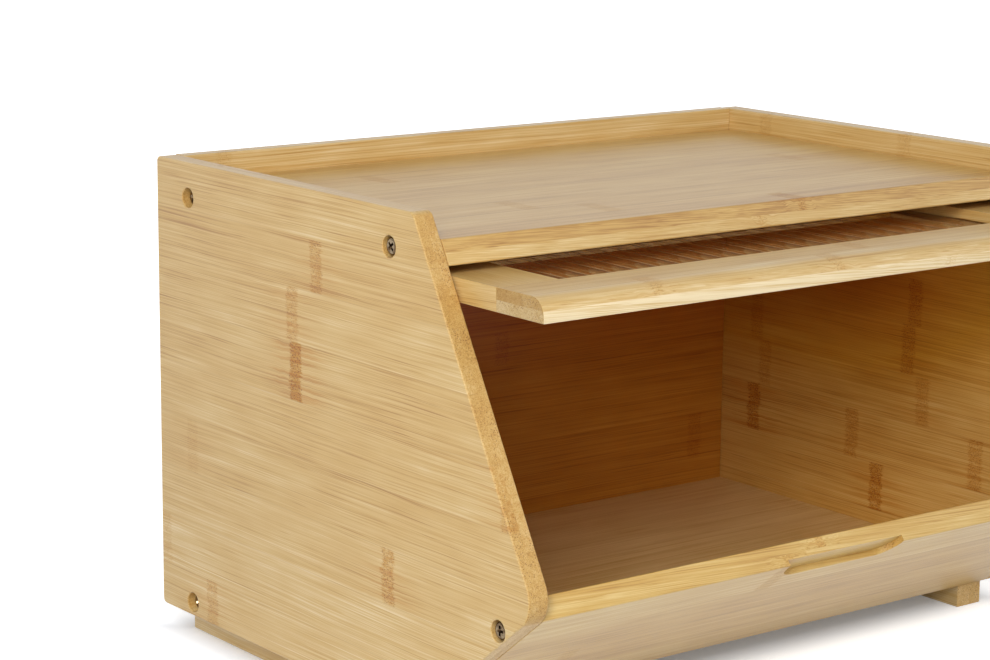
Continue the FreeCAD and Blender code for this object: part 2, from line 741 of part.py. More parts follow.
def glide(name, side):
    """A nylon bush that turns on the pin and runs in the side panel's groove."""
    body = new_body(f"{name}_glide")
    inner, outer = flip("glide_inner", side), flip("glide_outer", side)
    sketch = sketch_on(body, "YZ_Plane", inner if side > 0 else outer)
    draw_circle(sketch, ("pivot_y", "pivot_z"), "glide_diameter")
    draw_circle(sketch, ("pivot_y", "pivot_z"), "pin_diameter + 2 * running_gap")
    pad(body, sketch, "glide_outer - glide_inner")
    return body


def door_dowels(pattern):
    """The four dowels that join the stiles to the rails."""
    places = [(flip("stile_middle", side), f"{edge} - dowel_length / 2", "pivot_z")
              for _, side in SIDES for edge in ("window_front", "window_rear")]
    return group("door_dowels", pattern, (0, 1, 0), places)


# --- assembly --------------------------------------------------------------------------------

def build():
    """Every sub-part of the box, in the order in which it is put together."""
    long_pattern = screw("long_screw_pattern", "long_screw")
    short_pattern = screw("short_screw_pattern", "short_screw")
    dowel_pattern = dowel()
    parts = [top_shelf(), floor_board(), back_panel(), front_apron()]
    for name, side in SIDES:
        parts += [side_panel(name, side), runner(name, side)]
    parts += carcass_fixings(long_pattern, short_pattern, dowel_pattern)
    parts += [bottom_rail(), top_rail(), door_pane(), door_dowels(dowel_pattern)]
    for name, side in SIDES:
        parts += [door_stile(name, side), pivot_pin(name, side), glide(name, side)]
    return parts


def check(parts):
    """Stop if any object of the document failed or any sub-part isn't a valid solid."""
    doc.recompute()
    for item in doc.Objects:
        if {"Invalid", "Error"} & set(item.State):
            raise RuntimeError(f"{item.Label} failed: {item.State}")
    for part in parts:
        shape = part.Shape
        if shape.isNull() or not shape.isValid() or not shape.Solids:
            raise RuntimeError(f"{part.Label} is not a valid solid")


def export(parts):
    """One STEP file for each sub-part, named after it."""
    os.makedirs("parts", exist_ok=True)
    for part in parts:
        part.Shape.exportStep(os.path.join("parts", f"{part.Label}.step"))


sub_parts = build()
check(sub_parts)
export(sub_parts)
print(f"{len(sub_parts)} sub-parts, door travel {value('travel_rest'):.1f} mm out,"
      f" {value('travel_full - travel_rest'):.1f} mm in")
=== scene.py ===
"""A bamboo bread box with a tray top and a windowed flip-up door, modelled and finished.

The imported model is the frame: it says where each board, pin and screw is.  The boards, the
screws and the pane are modelled again here with eased edges, and every surface is given its
finish: laminated bamboo, zinc, nylon and clear acrylic.  X runs across the front, -Y is the
front and +Z is up.  Pieces are measured in metres and finishes in millimetres.
"""

import json
import logging
import math
import random
from collections.abc import Callable
from dataclasses import dataclass, field
from enum import Enum

import bmesh
import bpy
from mathutils import Matrix, Vector

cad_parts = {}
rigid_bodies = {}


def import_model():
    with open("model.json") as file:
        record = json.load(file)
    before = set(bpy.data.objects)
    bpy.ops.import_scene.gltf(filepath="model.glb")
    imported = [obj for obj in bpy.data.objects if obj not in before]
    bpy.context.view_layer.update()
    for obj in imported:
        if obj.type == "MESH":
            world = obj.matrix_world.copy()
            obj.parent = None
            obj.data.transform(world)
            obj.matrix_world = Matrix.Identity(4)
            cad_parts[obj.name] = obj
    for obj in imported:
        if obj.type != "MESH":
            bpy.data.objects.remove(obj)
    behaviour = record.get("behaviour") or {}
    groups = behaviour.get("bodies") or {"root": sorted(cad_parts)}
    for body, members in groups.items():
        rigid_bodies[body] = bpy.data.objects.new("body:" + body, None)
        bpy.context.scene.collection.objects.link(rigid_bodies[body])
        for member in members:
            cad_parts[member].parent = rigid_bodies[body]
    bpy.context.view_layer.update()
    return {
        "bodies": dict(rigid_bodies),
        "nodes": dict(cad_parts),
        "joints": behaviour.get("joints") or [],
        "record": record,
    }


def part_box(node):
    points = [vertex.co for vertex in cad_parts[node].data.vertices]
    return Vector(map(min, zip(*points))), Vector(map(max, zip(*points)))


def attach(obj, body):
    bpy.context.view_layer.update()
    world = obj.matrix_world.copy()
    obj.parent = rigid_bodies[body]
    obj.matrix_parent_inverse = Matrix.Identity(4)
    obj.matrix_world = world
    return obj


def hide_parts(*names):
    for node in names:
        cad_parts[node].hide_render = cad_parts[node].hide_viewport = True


LOG = logging.getLogger("bread_box")
Pair = tuple[float, float]
Triple = tuple[float, float, float]
Colour = tuple[int, int, int]
Socket = bpy.types.NodeSocket
Material = bpy.types.Material
Piece = bpy.types.Object
Test = Callable[[Vector], bool]

MM = 0.001
SLANT, UNDER = math.radians(60.8), math.radians(38.5)  # slopes above and under the nose
SHELF_MIDDLE, SHELF_UNDER = 211.25, 206.0
FLOOR_MIDDLE, FLOOR_TOP = 18.5, 23.5
DOOR_MIDDLE = 197.025
BORE_RADIUS = 4.7 * MM
RIB_PITCH = 12.6


def paint(red: int, green: int, blue: int) -> tuple[float, float, float, float]:
    """The linear colour of an sRGB colour given in 0 to 255."""
    def linear(level: float) -> float:
        return level / 12.92 if level <= 0.04045 else ((level + 0.055) / 1.055) ** 2.4
    return (*(linear(part / 255) for part in (red, green, blue)), 1.0)


# --- shader graphs ---

def adds(operation: str) -> Callable:
    """A method that adds one Math node, with its own signal first."""
    def method(signal: "Signal", *others: "Signal | float") -> "Signal":
        return signal.graph.maths(operation, signal, *others)
    return method


class Signal:
    """A number that changes over a surface.  Arithmetic on it adds Math nodes."""

    def __init__(self, graph: "Graph", socket: Socket) -> None:
        """Wraps one output socket of a graph."""
        self.graph, self.socket = graph, socket

    __add__ = __radd__ = adds("ADD")
    __mul__ = __rmul__ = adds("MULTIPLY")
    __sub__, __truediv__, __abs__ = adds("SUBTRACT"), adds("DIVIDE"), adds("ABSOLUTE")
    above, at_least, at_most = adds("GREATER_THAN"), adds("MAXIMUM"), adds("MINIMUM")
    fraction = adds("FRACT")

    def __rsub__(self, other: float) -> "Signal":
        """A number less this signal."""
        return self.graph.maths("SUBTRACT", other, self)

    def rise(self, low: float, high: float) -> "Signal":
        """A smooth step from 0 at one level of the signal to 1 at another.

        Args:
            low: the level that gives 0.
            high: the level that gives 1, which may be the lower of the two.

        Returns:
            The step, held between 0 and 1.
        """
        start, end = sorted((low, high))
        first, last = (0.0, 1.0) if low < high else (1.0, 0.0)
        node = self.graph.node("MapRange", {
            "Value": self, "From Min": start, "From Max": end, "To Min": first, "To Max": last
        }, interpolation_type="SMOOTHSTEP")
        return Signal(self.graph, node.outputs["Result"])


Signals = tuple[Signal, Signal, Signal]


class Graph:
    """The node tree of one material or of the world."""

    COLOUR_A, COLOUR_B, COLOUR_OUT = 6, 7, 2
    SCATTER = 0.85

    def __init__(self, owner: Material | bpy.types.World) -> None:
        """Empties the owner's tree."""
        self.owner = owner
        owner.use_nodes = True
        self.tree = owner.node_tree
        self.tree.nodes.clear()

    @classmethod
    def named(cls, name: str) -> "Graph":
        """The graph of a new material."""
        return cls(bpy.data.materials.new(name))

    def node(self, kind: str, inputs: dict | None = None, **settings: str) -> bpy.types.Node:
        """Adds a node.

        Args:
            kind: the node's type, without the word that all types start with.
            inputs: a number, colour, signal or socket for each input, by name or position.
            settings: the node's attributes.

        Returns:
            The new node.
        """
        node = self.tree.nodes.new("ShaderNode" + kind)
        for key, setting in settings.items():
            setattr(node, key, setting)
        for key, given in (inputs or {}).items():
            source = given.socket if isinstance(given, Signal) else given
            if isinstance(source, Socket):
                self.tree.links.new(source, node.inputs[key])
            else:
                node.inputs[key].default_value = source
        return node

    def maths(self, operation: str, *values: Signal | float) -> Signal:
        """The result of one Math node."""
        node = self.node("Math", dict(enumerate(values)), operation=operation)
        return Signal(self, node.outputs[0])

    def parts(self, vector: Socket, kind: str = "SeparateXYZ") -> Signals:
        """The X, Y and Z of a vector, or the three numbers that a colour carries."""
        return tuple(Signal(self, output) for output in self.node(kind, {0: vector}).outputs)

    def vector(self, *axes: Signal | float) -> Socket:
        """A vector from its X, Y and Z."""
        return self.node("CombineXYZ", dict(enumerate(axes))).outputs[0]

    def noise(self, place: Socket, detail: float = 2.0, roughness: float = 0.5) -> Signal:
        """Soft noise whose features are about one unit of the place across."""
        node = self.node("TexNoise", {
            "Vector": place, "Scale": 1.0, "Detail": detail, "Roughness": roughness})
        return Signal(self, node.outputs[0])

    def cells(self, place: Socket) -> Signal:
        """The distance from the nearest of the dots that are scattered one unit apart."""
        node = self.node("TexVoronoi", {
            "Vector": place, "Scale": 1.0, "Randomness": self.SCATTER})
        return Signal(self, node.outputs["Distance"])

    def _ramp(self, level: Signal, kind: str, stops: list) -> Socket:
        """The colour that a ramp gives a signal, from its stops of place and colour."""
        node = self.node("ValToRGB", {0: level})
        ramp = node.color_ramp
        ramp.interpolation = kind
        while len(ramp.elements) < len(stops):
            ramp.elements.new(1.0)
        for element, (place, colour) in zip(ramp.elements, stops):
            element.position, element.color = place, colour
        return node.outputs[0]

    def ramp(self, level: Signal, *stops: tuple[float, Colour]) -> Socket:
        """The colour that a smooth ramp gives a signal, from stops of place and sRGB colour."""
        return self._ramp(level, "LINEAR", [(place, paint(*colour)) for place, colour in stops])

    def steps(self, level: Signal, places: list[float], rows: list[Triple]) -> Signals:
        """The three numbers that hold from one place on a signal to the next."""
        stops = [(place, (*row, 1.0)) for place, row in zip(places, rows)]
        return self.parts(self._ramp(level, "CONSTANT", stops), "SeparateColor")

    def blend(self, amount: Signal | float, under: Socket | Colour, over: Socket | Colour,
              how: str = "MIX") -> Socket:
        """One colour mixed over another.

        Args:
            amount: how much of the upper colour shows.
            under: the lower colour, linked or as an sRGB colour.
            over: the upper colour, likewise.
            how: the Mix node's blend type.

        Returns:
            The mixed colour.
        """
        under, over = (paint(*given) if isinstance(given, tuple) else given
                       for given in (under, over))
        node = self.node("Mix", {0: amount, self.COLOUR_A: under, self.COLOUR_B: over},
                         data_type="RGBA", blend_type=how)
        return node.outputs[self.COLOUR_OUT]

    def stain(self, colour: Socket, over: Socket | Colour, amount: Signal | float = 1.0) -> Socket:
        """A colour darkened by another through a multiply blend, for stains, marks and tints and
        for painted shade.
        """
        return self.blend(amount, colour, over, "MULTIPLY")

    def place(self, tilt: float = 0.0, scale: float = 1.0) -> Socket:
        """The object's own coordinates in millimetres, turned about X and scaled."""
        return self.node("Mapping", {
            "Vector": self.node("TexCoord").outputs["Object"], "Rotation": (tilt, 0.0, 0.0),
            "Scale": (scale / MM,) * 3}).outputs[0]

    def facing(self, tilt: float = 0.0) -> Signals:
        """The parts of the surface's own normal, turned about X by an angle."""
        own = self.node("TexCoord").outputs["Normal"]
        return self.parts(self.node("Mapping", {"Vector": own, "Rotation": (tilt, 0.0, 0.0)},
                                    vector_type="NORMAL").outputs[0])

    def surface(self, height: Signal | None = None, depth: float = 0.0,
                **sockets: Signal | Socket | float) -> Material:
        """Ends the tree in a Principled shader.

        Args:
            height: the height of the surface's relief, if it has any.
            depth: how deep the relief is for a height of 1, in metres.
            sockets: values or links by the shader's socket names, with _ for a space.

        Returns:
            The material, finished.
        """
        inputs = {name.replace("_", " "): given for name, given in sockets.items()}
        if height is not None:
            inputs["Normal"] = self.node("Bump", {"Distance": depth, "Height": height}).outputs[0]
        shader = self.node("BsdfPrincipled", inputs)
        self.node("OutputMaterial", {"Surface": shader.outputs[0]})
        return self.owner


# --- finishes ---

class Axis(Enum):
    """An axis of a piece's own coordinates."""

    X = 0
    Y = 1
    Z = 2


class Lay(Enum):
    """How a board lies: its axes along the grain, across the strips and through the board."""

    FLAT = (Axis.X, Axis.Y, Axis.Z)
    SIDE = (Axis.Y, Axis.Z, Axis.X)
    BACK = (Axis.X, Axis.Z, Axis.Y)
    STILE = (Axis.Y, Axis.X, Axis.Z)


@dataclass(frozen=True)
class Strip:
    """One strip of bamboo in a ply.

    Fields: its width in mm, its tone from 0 for pale to 1 for deep, and the joints of the culm
    that cross it, each a place along the grain in mm and a strength.
    """

    width: float
    tone: float
    joints: tuple[Pair, ...] = ()


def strips(*rows: tuple[float, ...]) -> tuple[Strip, ...]:
    """Strips from rows of a width, a tone and the place and strength of each joint."""
    return tuple(Strip(row[0], row[1], tuple(zip(row[2::2], row[3::2]))) for row in rows)


@dataclass(frozen=True)
class Ply:
    """Strips laid side by side from a starting place, in mm."""

    start: float
    strips: tuple[Strip, ...]

    OFFSETS, WIDTHS, TONES = (0.0, 20.0), (22.0, 25.5), (0.37, 0.63)
    JOINTED, STRENGTHS = 0.6, (0.2, 0.6)

    @classmethod
    def lay(cls, seed: int, start: float, end: float, run: Pair,
            chosen: tuple[Strip, ...] = (), pale: float = 0.0) -> "Ply":
        """Lays a ply: some strips listed, the rest by chance, as a workshop picks them.

        Args:
            seed: the draw that is used.
            start: where the first strip starts across the grain, in mm.
            end: the least place that the last strip reaches.
            run: the ends of the board along the grain, between which joints fall.
            chosen: the strips that come first.
            pale: how much paler than usual the tones are.

        Returns:
            The ply.
        """
        draw = random.Random(seed)
        first = start if chosen else start - draw.uniform(*cls.OFFSETS)
        laid = list(chosen)
        reach = first + sum(strip.width for strip in laid)
        while reach < end:
            width = draw.uniform(*cls.WIDTHS)
            joints = ()
            if draw.random() < cls.JOINTED:
                joints = ((draw.uniform(*run), draw.uniform(*cls.STRENGTHS)),)
            laid.append(Strip(width, max(draw.uniform(*cls.TONES) - pale, 0.0), joints))
            reach += width
        return cls(first, tuple(laid))

    @property
    def width(self) -> float:
        """The width of all the strips together."""
        return sum(strip.width for strip in self.strips)

    def edges(self) -> list[float]:
        """Where each strip starts, as a share of the ply's width."""
        places, reach = [], 0.0
        for strip in self.strips:
            places.append(reach / self.width)
            reach += strip.width
        return places


def lay_pair(seed: int, start: float, end: float, run: Pair, low: tuple[Strip, ...] = (),
             high: tuple[Strip, ...] = (), pale: float = 0.0) -> tuple[Ply, Ply]:
    """Both plies of a board, the lower laid from a seed and the upper from the next."""
    return (Ply.lay(seed, start, end, run, low, pale),
            Ply.lay(seed + 1, start, end, run, high, pale))


@dataclass(frozen=True)
class Weave:
    """A texture drawn out along the grain.

    Fields: its changes per mm along and across, how far its noise swings about 0, and the
    noise's detail and roughness.
    """

    along: float
    across: float
    reach: float = 1.0
    detail: float = 2.0
    roughness: float = 0.5

    def _spread(self, place: Signals, shift: Signal | float) -> Socket:
        """The place in the texture's own units, moved along the grain by the shift."""
        return place[0].graph.vector(place[0] * self.along + shift, place[1] * self.across,
                                     place[2] * self.across)

    def noise(self, place: Signals, shift: Signal | float = 0.0) -> Signal:
        """Soft noise about 0."""
        noise = place[0].graph.noise(self._spread(place, shift), self.detail, self.roughness)
        return (noise - 0.5) * self.reach

    def dots(self, place: Signals, levels: Pair) -> Signal:
        """Scattered dots that fade between two distances from their middles."""
        return place[0].graph.cells(self._spread(place, 0.0)).rise(*levels)


@dataclass(frozen=True)
class InnerFace:
    """Painted shade on the face that turns inwards: below the shelf its colour is made deeper, the
    more so at the back, standing in for the shade and warm bounced light inside the box.

    Fields: the axis and sign of its direction, and how deep the painted shade is low down and high
    up.
    """

    axis: Axis
    sign: float
    low: float
    high: float

    HEIGHTS, RUN, FRONT = (70.0, 170.0), (-110.0, 40.0), 0.45
    TURNED, BLUR = (0.55, 0.85), 0.5
    # the colours of the painted shade, from none to deepest
    SHADES = ((0.0, (255, 255, 255)), (0.5, (255, 220, 126)), (1.0, (220, 142, 66)))

    def deepen(self, graph: Graph, colour: Socket, place: Signals, normal: Signals) -> Socket:
        """A colour made deeper by painted shade on this face."""
        # painted shade: deeper higher up and towards the back, only below the shelf, on faces
        # turned this way
        depth = self.low + (self.high - self.low) * place[2].rise(*self.HEIGHTS)
        depth = depth * (self.FRONT + (1.0 - self.FRONT) * place[1].rise(*self.RUN))
        below = place[2].rise(SHELF_UNDER + self.BLUR, SHELF_UNDER - self.BLUR)
        facing = (normal[self.axis.value] * self.sign).rise(*self.TURNED)
        return graph.stain(colour, graph.ramp(facing * below * depth, *self.SHADES))


@dataclass(frozen=True)
class Bamboo:
    """Laminated bamboo: two plies of strips, lacquered satin.

    Fields: a name, how the board lies, the place of the glue plane in mm, the plies below and
    above it, the tilt of the board about X, the painted shade of the face that turns inwards,
    and the tints of the end grain and of the whole board.
    """

    name: str
    lay: Lay
    glue: float
    plies: tuple[Ply, Ply]
    tilt: float = 0.0
    inner: InnerFace | None = None
    end_tint: Colour = (235, 224, 202)
    tint: Colour = (255, 255, 255)

    EDGE_TURN, END_TURN, SEAM_WIDTH, SEAM_STEP = (0.45, 0.75), (0.5, 0.75), 0.45, 0.004
    JOINT_SPAN, JOINT_HALF, JOINT_BLUR, HALO = 400.0, 4.4, 0.7, 30.0
    FIBRE, SWAY = Weave(0.06, 1.1, 5.5, 1.0), Weave(0.02, 0.16, 3.0, 1.0)
    WANDER, SWIRL = Weave(0.009, 0.03, 2.2), Weave(0.15, 0.2, 1.0, 1.0)
    FINE, STREAK = Weave(0.008, 2.0, 1.0, 2.5, 0.75), Weave(0.006, 0.5, 0.45, 2.0, 0.6)
    MOTTLE, HAIR = Weave(0.025, 0.09, 0.5), Weave(0.005, 0.7, 1.0, 1.0)
    FLECK, GRIT, PORE = Weave(0.22, 1.3, 1.0, 2.0, 0.7), Weave(0.95, 1.35), Weave(0.05, 1.1)
    HAIR_LEVELS, GRIT_LEVELS, PORE_LEVELS = (0.03, 0.006), (0.42, 0.16), (0.36, 0.16)
    FLECK_LEVELS, SMEAR_LEVELS, OPEN_LEVELS = (-0.1, 0.12), (-0.018, 0.072), (0.45, 0.6)
    FACE = ((0.0, (235, 214, 172)), (0.34, (213, 181, 121)),
            (0.62, (202, 163, 95)), (1.0, (168, 122, 62)))
    JOINT_FILL, JOINT_GRIT, JOINT_SMEAR = (234, 208, 152), (176, 130, 76), (238, 206, 146)
    SEAM_TINT, PORE_TINT = (180, 140, 96), (164, 124, 78)
    RELIEF, INDEX, ROUGHNESS = 0.1 * MM, 1.46, 0.33

    def material(self) -> Material:
        """Builds the material of a board."""
        graph = Graph.named(self.name)
        axes, normal = graph.parts(graph.place(self.tilt)), graph.facing(self.tilt)
        place = tuple(axes[axis.value] for axis in self.lay.value)
        end, edge = (abs(normal[axis.value]).rise(*turn) for axis, turn in zip(
            self.lay.value, (self.END_TURN, self.EDGE_TURN)))
        upper = place[2].above(self.glue)
        low, high = (self._read(graph, ply, place[1]) for ply in self.plies)
        tone, seam = (under + (over - under) * upper for under, over in zip(low[:2], high[:2]))
        seed = tone * 41.0 + upper * 7.3
        joint, smudge = self._joints(place, edge, ((low[2], 1.0 - upper), (high[2], upper)))
        joint = joint * (1.0 - end * 0.8)
        drawn = self._flow(place, edge, seed, self.SWIRL.noise(place) * smudge)

        fine, streak, mottle = (weave.noise(drawn, seed)
                                for weave in (self.FINE, self.STREAK, self.MOTTLE))
        hair = abs(self.HAIR.noise(drawn, 0.0 - seed)).rise(*self.HAIR_LEVELS)
        depth = (tone - 0.5) * 0.8 + fine.at_least(-0.1) * 1.5 + streak + mottle + hair * 0.2
        colour = graph.stain(graph.ramp(depth + 0.5, *self.FACE), self.tint)

        grit = self.GRIT.dots(place, self.GRIT_LEVELS)
        flecks = self.FLECK.noise(drawn).rise(*self.FLECK_LEVELS)
        for tint, amount, share in (
                (self.JOINT_FILL, joint * (0.25 + 0.75 * flecks), 1.0),
                (self.JOINT_GRIT, joint * grit, 0.95),
                (self.JOINT_SMEAR, smudge * streak.rise(*self.SMEAR_LEVELS), 0.6),
                (self.SEAM_TINT, seam, 0.16)):
            colour = graph.stain(colour, tint, amount.at_most(1.0) * share)

        pores = self._pores(place, seed)
        face_end = graph.stain(graph.stain(colour, self.end_tint, 0.9), self.PORE_TINT, pores * 0.7)
        colour = graph.blend(end, colour, face_end)
        # painted shade on the inward face below the shelf
        if self.inner:
            colour = self.inner.deepen(graph, colour, axes, normal)
        height = (fine + joint * flecks - joint * grit) * 0.5 - end * pores * 0.8
        rough = self.ROUGHNESS + fine * 0.12 + joint * 0.1 + end * 0.2
        return graph.surface(height, self.RELIEF, Base_Color=colour, Roughness=rough,
                             IOR=self.INDEX)

    def _read(self, graph: Graph, ply: Ply, across: Signal) -> tuple[Signal, Signal, list]:
        """Reads the strips of a ply.

        Returns:
            The tone, 1 at a seam between two tones, and the place and strength of the joints
            in each row of them.
        """
        share, places = (across - ply.start) / ply.width, ply.edges()
        tones = [(strip.tone,) * 3 for strip in ply.strips]
        tone, beyond = (graph.steps(level, places, tones)[0]
                        for level in (share, share + self.SEAM_WIDTH / ply.width))
        rows = []
        for row in range(max(len(strip.joints) for strip in ply.strips)):
            marks = (strip.joints[row] if row < len(strip.joints) else (0.0, 0.0)
                     for strip in ply.strips)
            rows.append(graph.steps(share, places, [
                (place / self.JOINT_SPAN + 0.5, strength, 0.0) for place, strength in marks])[:2])
        return tone, abs(tone - beyond).above(self.SEAM_STEP), rows

    def _joints(self, place: Signals, edge: Signal, plies: tuple) -> tuple[Signal, Signal]:
        """The bands where the culm's joints cross the strips, and the smudges beside them."""
        ragged = self.FIBRE.noise(place) + self.SWAY.noise(place)
        band = smudge = place[0] * 0.0
        for rows, share in plies:
            for middle, strength in rows:
                away = abs(place[0] - (middle - 0.5) * self.JOINT_SPAN + ragged)
                away = away * (1.0 + edge * 0.7)
                mark = away.rise(self.JOINT_HALF + self.JOINT_BLUR,
                                 self.JOINT_HALF - self.JOINT_BLUR)
                band = band + mark * strength * share
                smudge = smudge + away.rise(self.HALO, self.JOINT_HALF) * strength * share
        return band, smudge

    def _flow(self, place: Signals, edge: Signal, seed: Signal, swirl: Signal) -> Signals:
        """The place moved across and through the board as the fibres run."""
        along, across, through = place
        return (along, across + self.WANDER.noise(place, seed) + swirl * (1.0 + edge * 7.0),
                through + along * edge * 0.05 + swirl * edge * 8.0)

    def _pores(self, place: Signals, seed: Signal) -> Signal:
        """The dark pores of the end grain, thick in some places and sparse in others."""
        graph = seed.graph
        open_grain = graph.noise(graph.vector(seed, place[1] * 0.05, place[2] * 0.12))
        return self.PORE.dots(place, self.PORE_LEVELS) * (
            0.2 + 0.8 * open_grain.rise(*self.OPEN_LEVELS))


@dataclass(frozen=True)
class Moulded:
    """A cloudy finish: zinc plating over steel, or milky nylon.

    Fields: a name, the places and colours of the cloud, the roughness and how far the cloud
    changes it, 1 for metal, the cloud's changes per mm and the depth of its relief.
    """

    name: str
    clouds: tuple[tuple[float, Colour], ...]
    roughness: float
    spread: float
    metal: float
    scale: float
    relief: float

    DETAIL = 3.0

    def material(self) -> Material:
        """Builds the material."""
        graph = Graph.named(self.name)
        cloud = graph.noise(graph.place(scale=self.scale), self.DETAIL)
        return graph.surface(cloud, self.relief, Base_Color=graph.ramp(cloud, *self.clouds),
                             Metallic=self.metal,
                             Roughness=self.roughness + (cloud - 0.5) * self.spread)


def zinc(name: str = "zinc") -> Moulded:
    """Zinc plating, its colour darkened to brown as a painted reflection of the bores' brown walls
    and of the shade inside them.
    """
    return Moulded(name, ((0.4, (132, 116, 92)), (0.64, (84, 64, 42))), 0.2, 0.25, 1.0, 0.45,
                   0.05 * MM)


def nylon() -> Moulded:
    """Milky nylon."""
    return Moulded("nylon", ((0.3, (238, 235, 226)), (0.7, (224, 220, 208))), 0.42, 0.15, 0.0,
                   2.0, 0.03 * MM)


@dataclass(frozen=True)
class ClearAcrylic:
    """Clear ribbed acrylic, polished, with a little dust and with painted light: a brown veil on
    each rib as a painted reflection of the shelf's shaded underside, a painted highlight down each
    valley, and at each rib's front end a painted patch of light with a painted grey reflection.

    Fields: its name, and how much a rib's painted reflection, its flank, its valley's painted
    highlight, the painted light at its front end and the dust each hide.
    """

    name: str = "clear_acrylic"
    veil: float = 0.26
    flank: float = 0.1
    valley: float = 0.34
    facet: float = 0.15
    dust: float = 0.5

    RIB_COLOUR, VALLEY_COLOUR, DUST_COLOUR = (196, 138, 74), (226, 190, 138), (240, 234, 222)
    FACET_COLOURS = ((206, 162, 104), (176, 138, 104))
    VALLEY, FLANK, FACET_TURN = (0.42, 0.485), (0.1, 0.42), (0.3, 0.65)
    FACET_REACH, FACET_PLACE, FACET_BLUR = 46.0, 84.0, 0.8
    DUST, DUST_LEVELS = Weave(0.4, 0.4), (0.09, 0.05)
    POLISH, INDEX, SHINE = 0.1, 1.49, 0.12

    def material(self) -> Material:
        """Builds the material."""
        graph = Graph.named(self.name)
        place = graph.parts(graph.place())
        turn = (place[0] / RIB_PITCH).fraction()
        phase = abs(turn - 0.5)
        valley, flank = phase.rise(*self.VALLEY), phase.rise(*self.FLANK)
        dust = self.DUST.dots(place, self.DUST_LEVELS)
        # painted light at the ribs' front ends, where the shelf's shadow stops: a scalloped patch,
        # tan on one side of each rib and a grey painted reflection on the other
        end = turn * (1.0 - turn) * self.FACET_REACH - self.FACET_PLACE - place[1]
        facet = end.rise(-self.FACET_BLUR, self.FACET_BLUR)
        # the brown veil is a painted reflection of the shelf's shaded underside; the valleys carry
        # a painted highlight
        colour = graph.blend(valley, self.RIB_COLOUR, self.VALLEY_COLOUR)
        sheen = graph.blend(turn.rise(*self.FACET_TURN), *self.FACET_COLOURS)
        colour = graph.blend(dust, graph.blend(facet, colour, sheen), self.DUST_COLOUR)
        hidden = (self.veil + flank * self.flank + valley * self.valley + facet * self.facet
                  + dust * self.dust)
        return graph.surface(Base_Color=colour, Roughness=self.POLISH + dust * self.dust,
                             IOR=self.INDEX, Specular_IOR_Level=self.SHINE,
                             Alpha=hidden.at_most(1.0))


# --- modelling by hand ---

class Side(Enum):
    """A side of the box, with its sign along X."""

    LEFT = -1
    RIGHT = 1

    @property
    def word(self) -> str:
        """The side's name in lower case."""
        return self.name.lower()


def at(**places: float) -> Test:
    """A test for a vertex with the given x, y or z, within a hundredth of a millimetre."""
    return lambda vertex: all(abs(getattr(vertex, axis) - place) < 0.01 * MM
                              for axis, place in places.items())


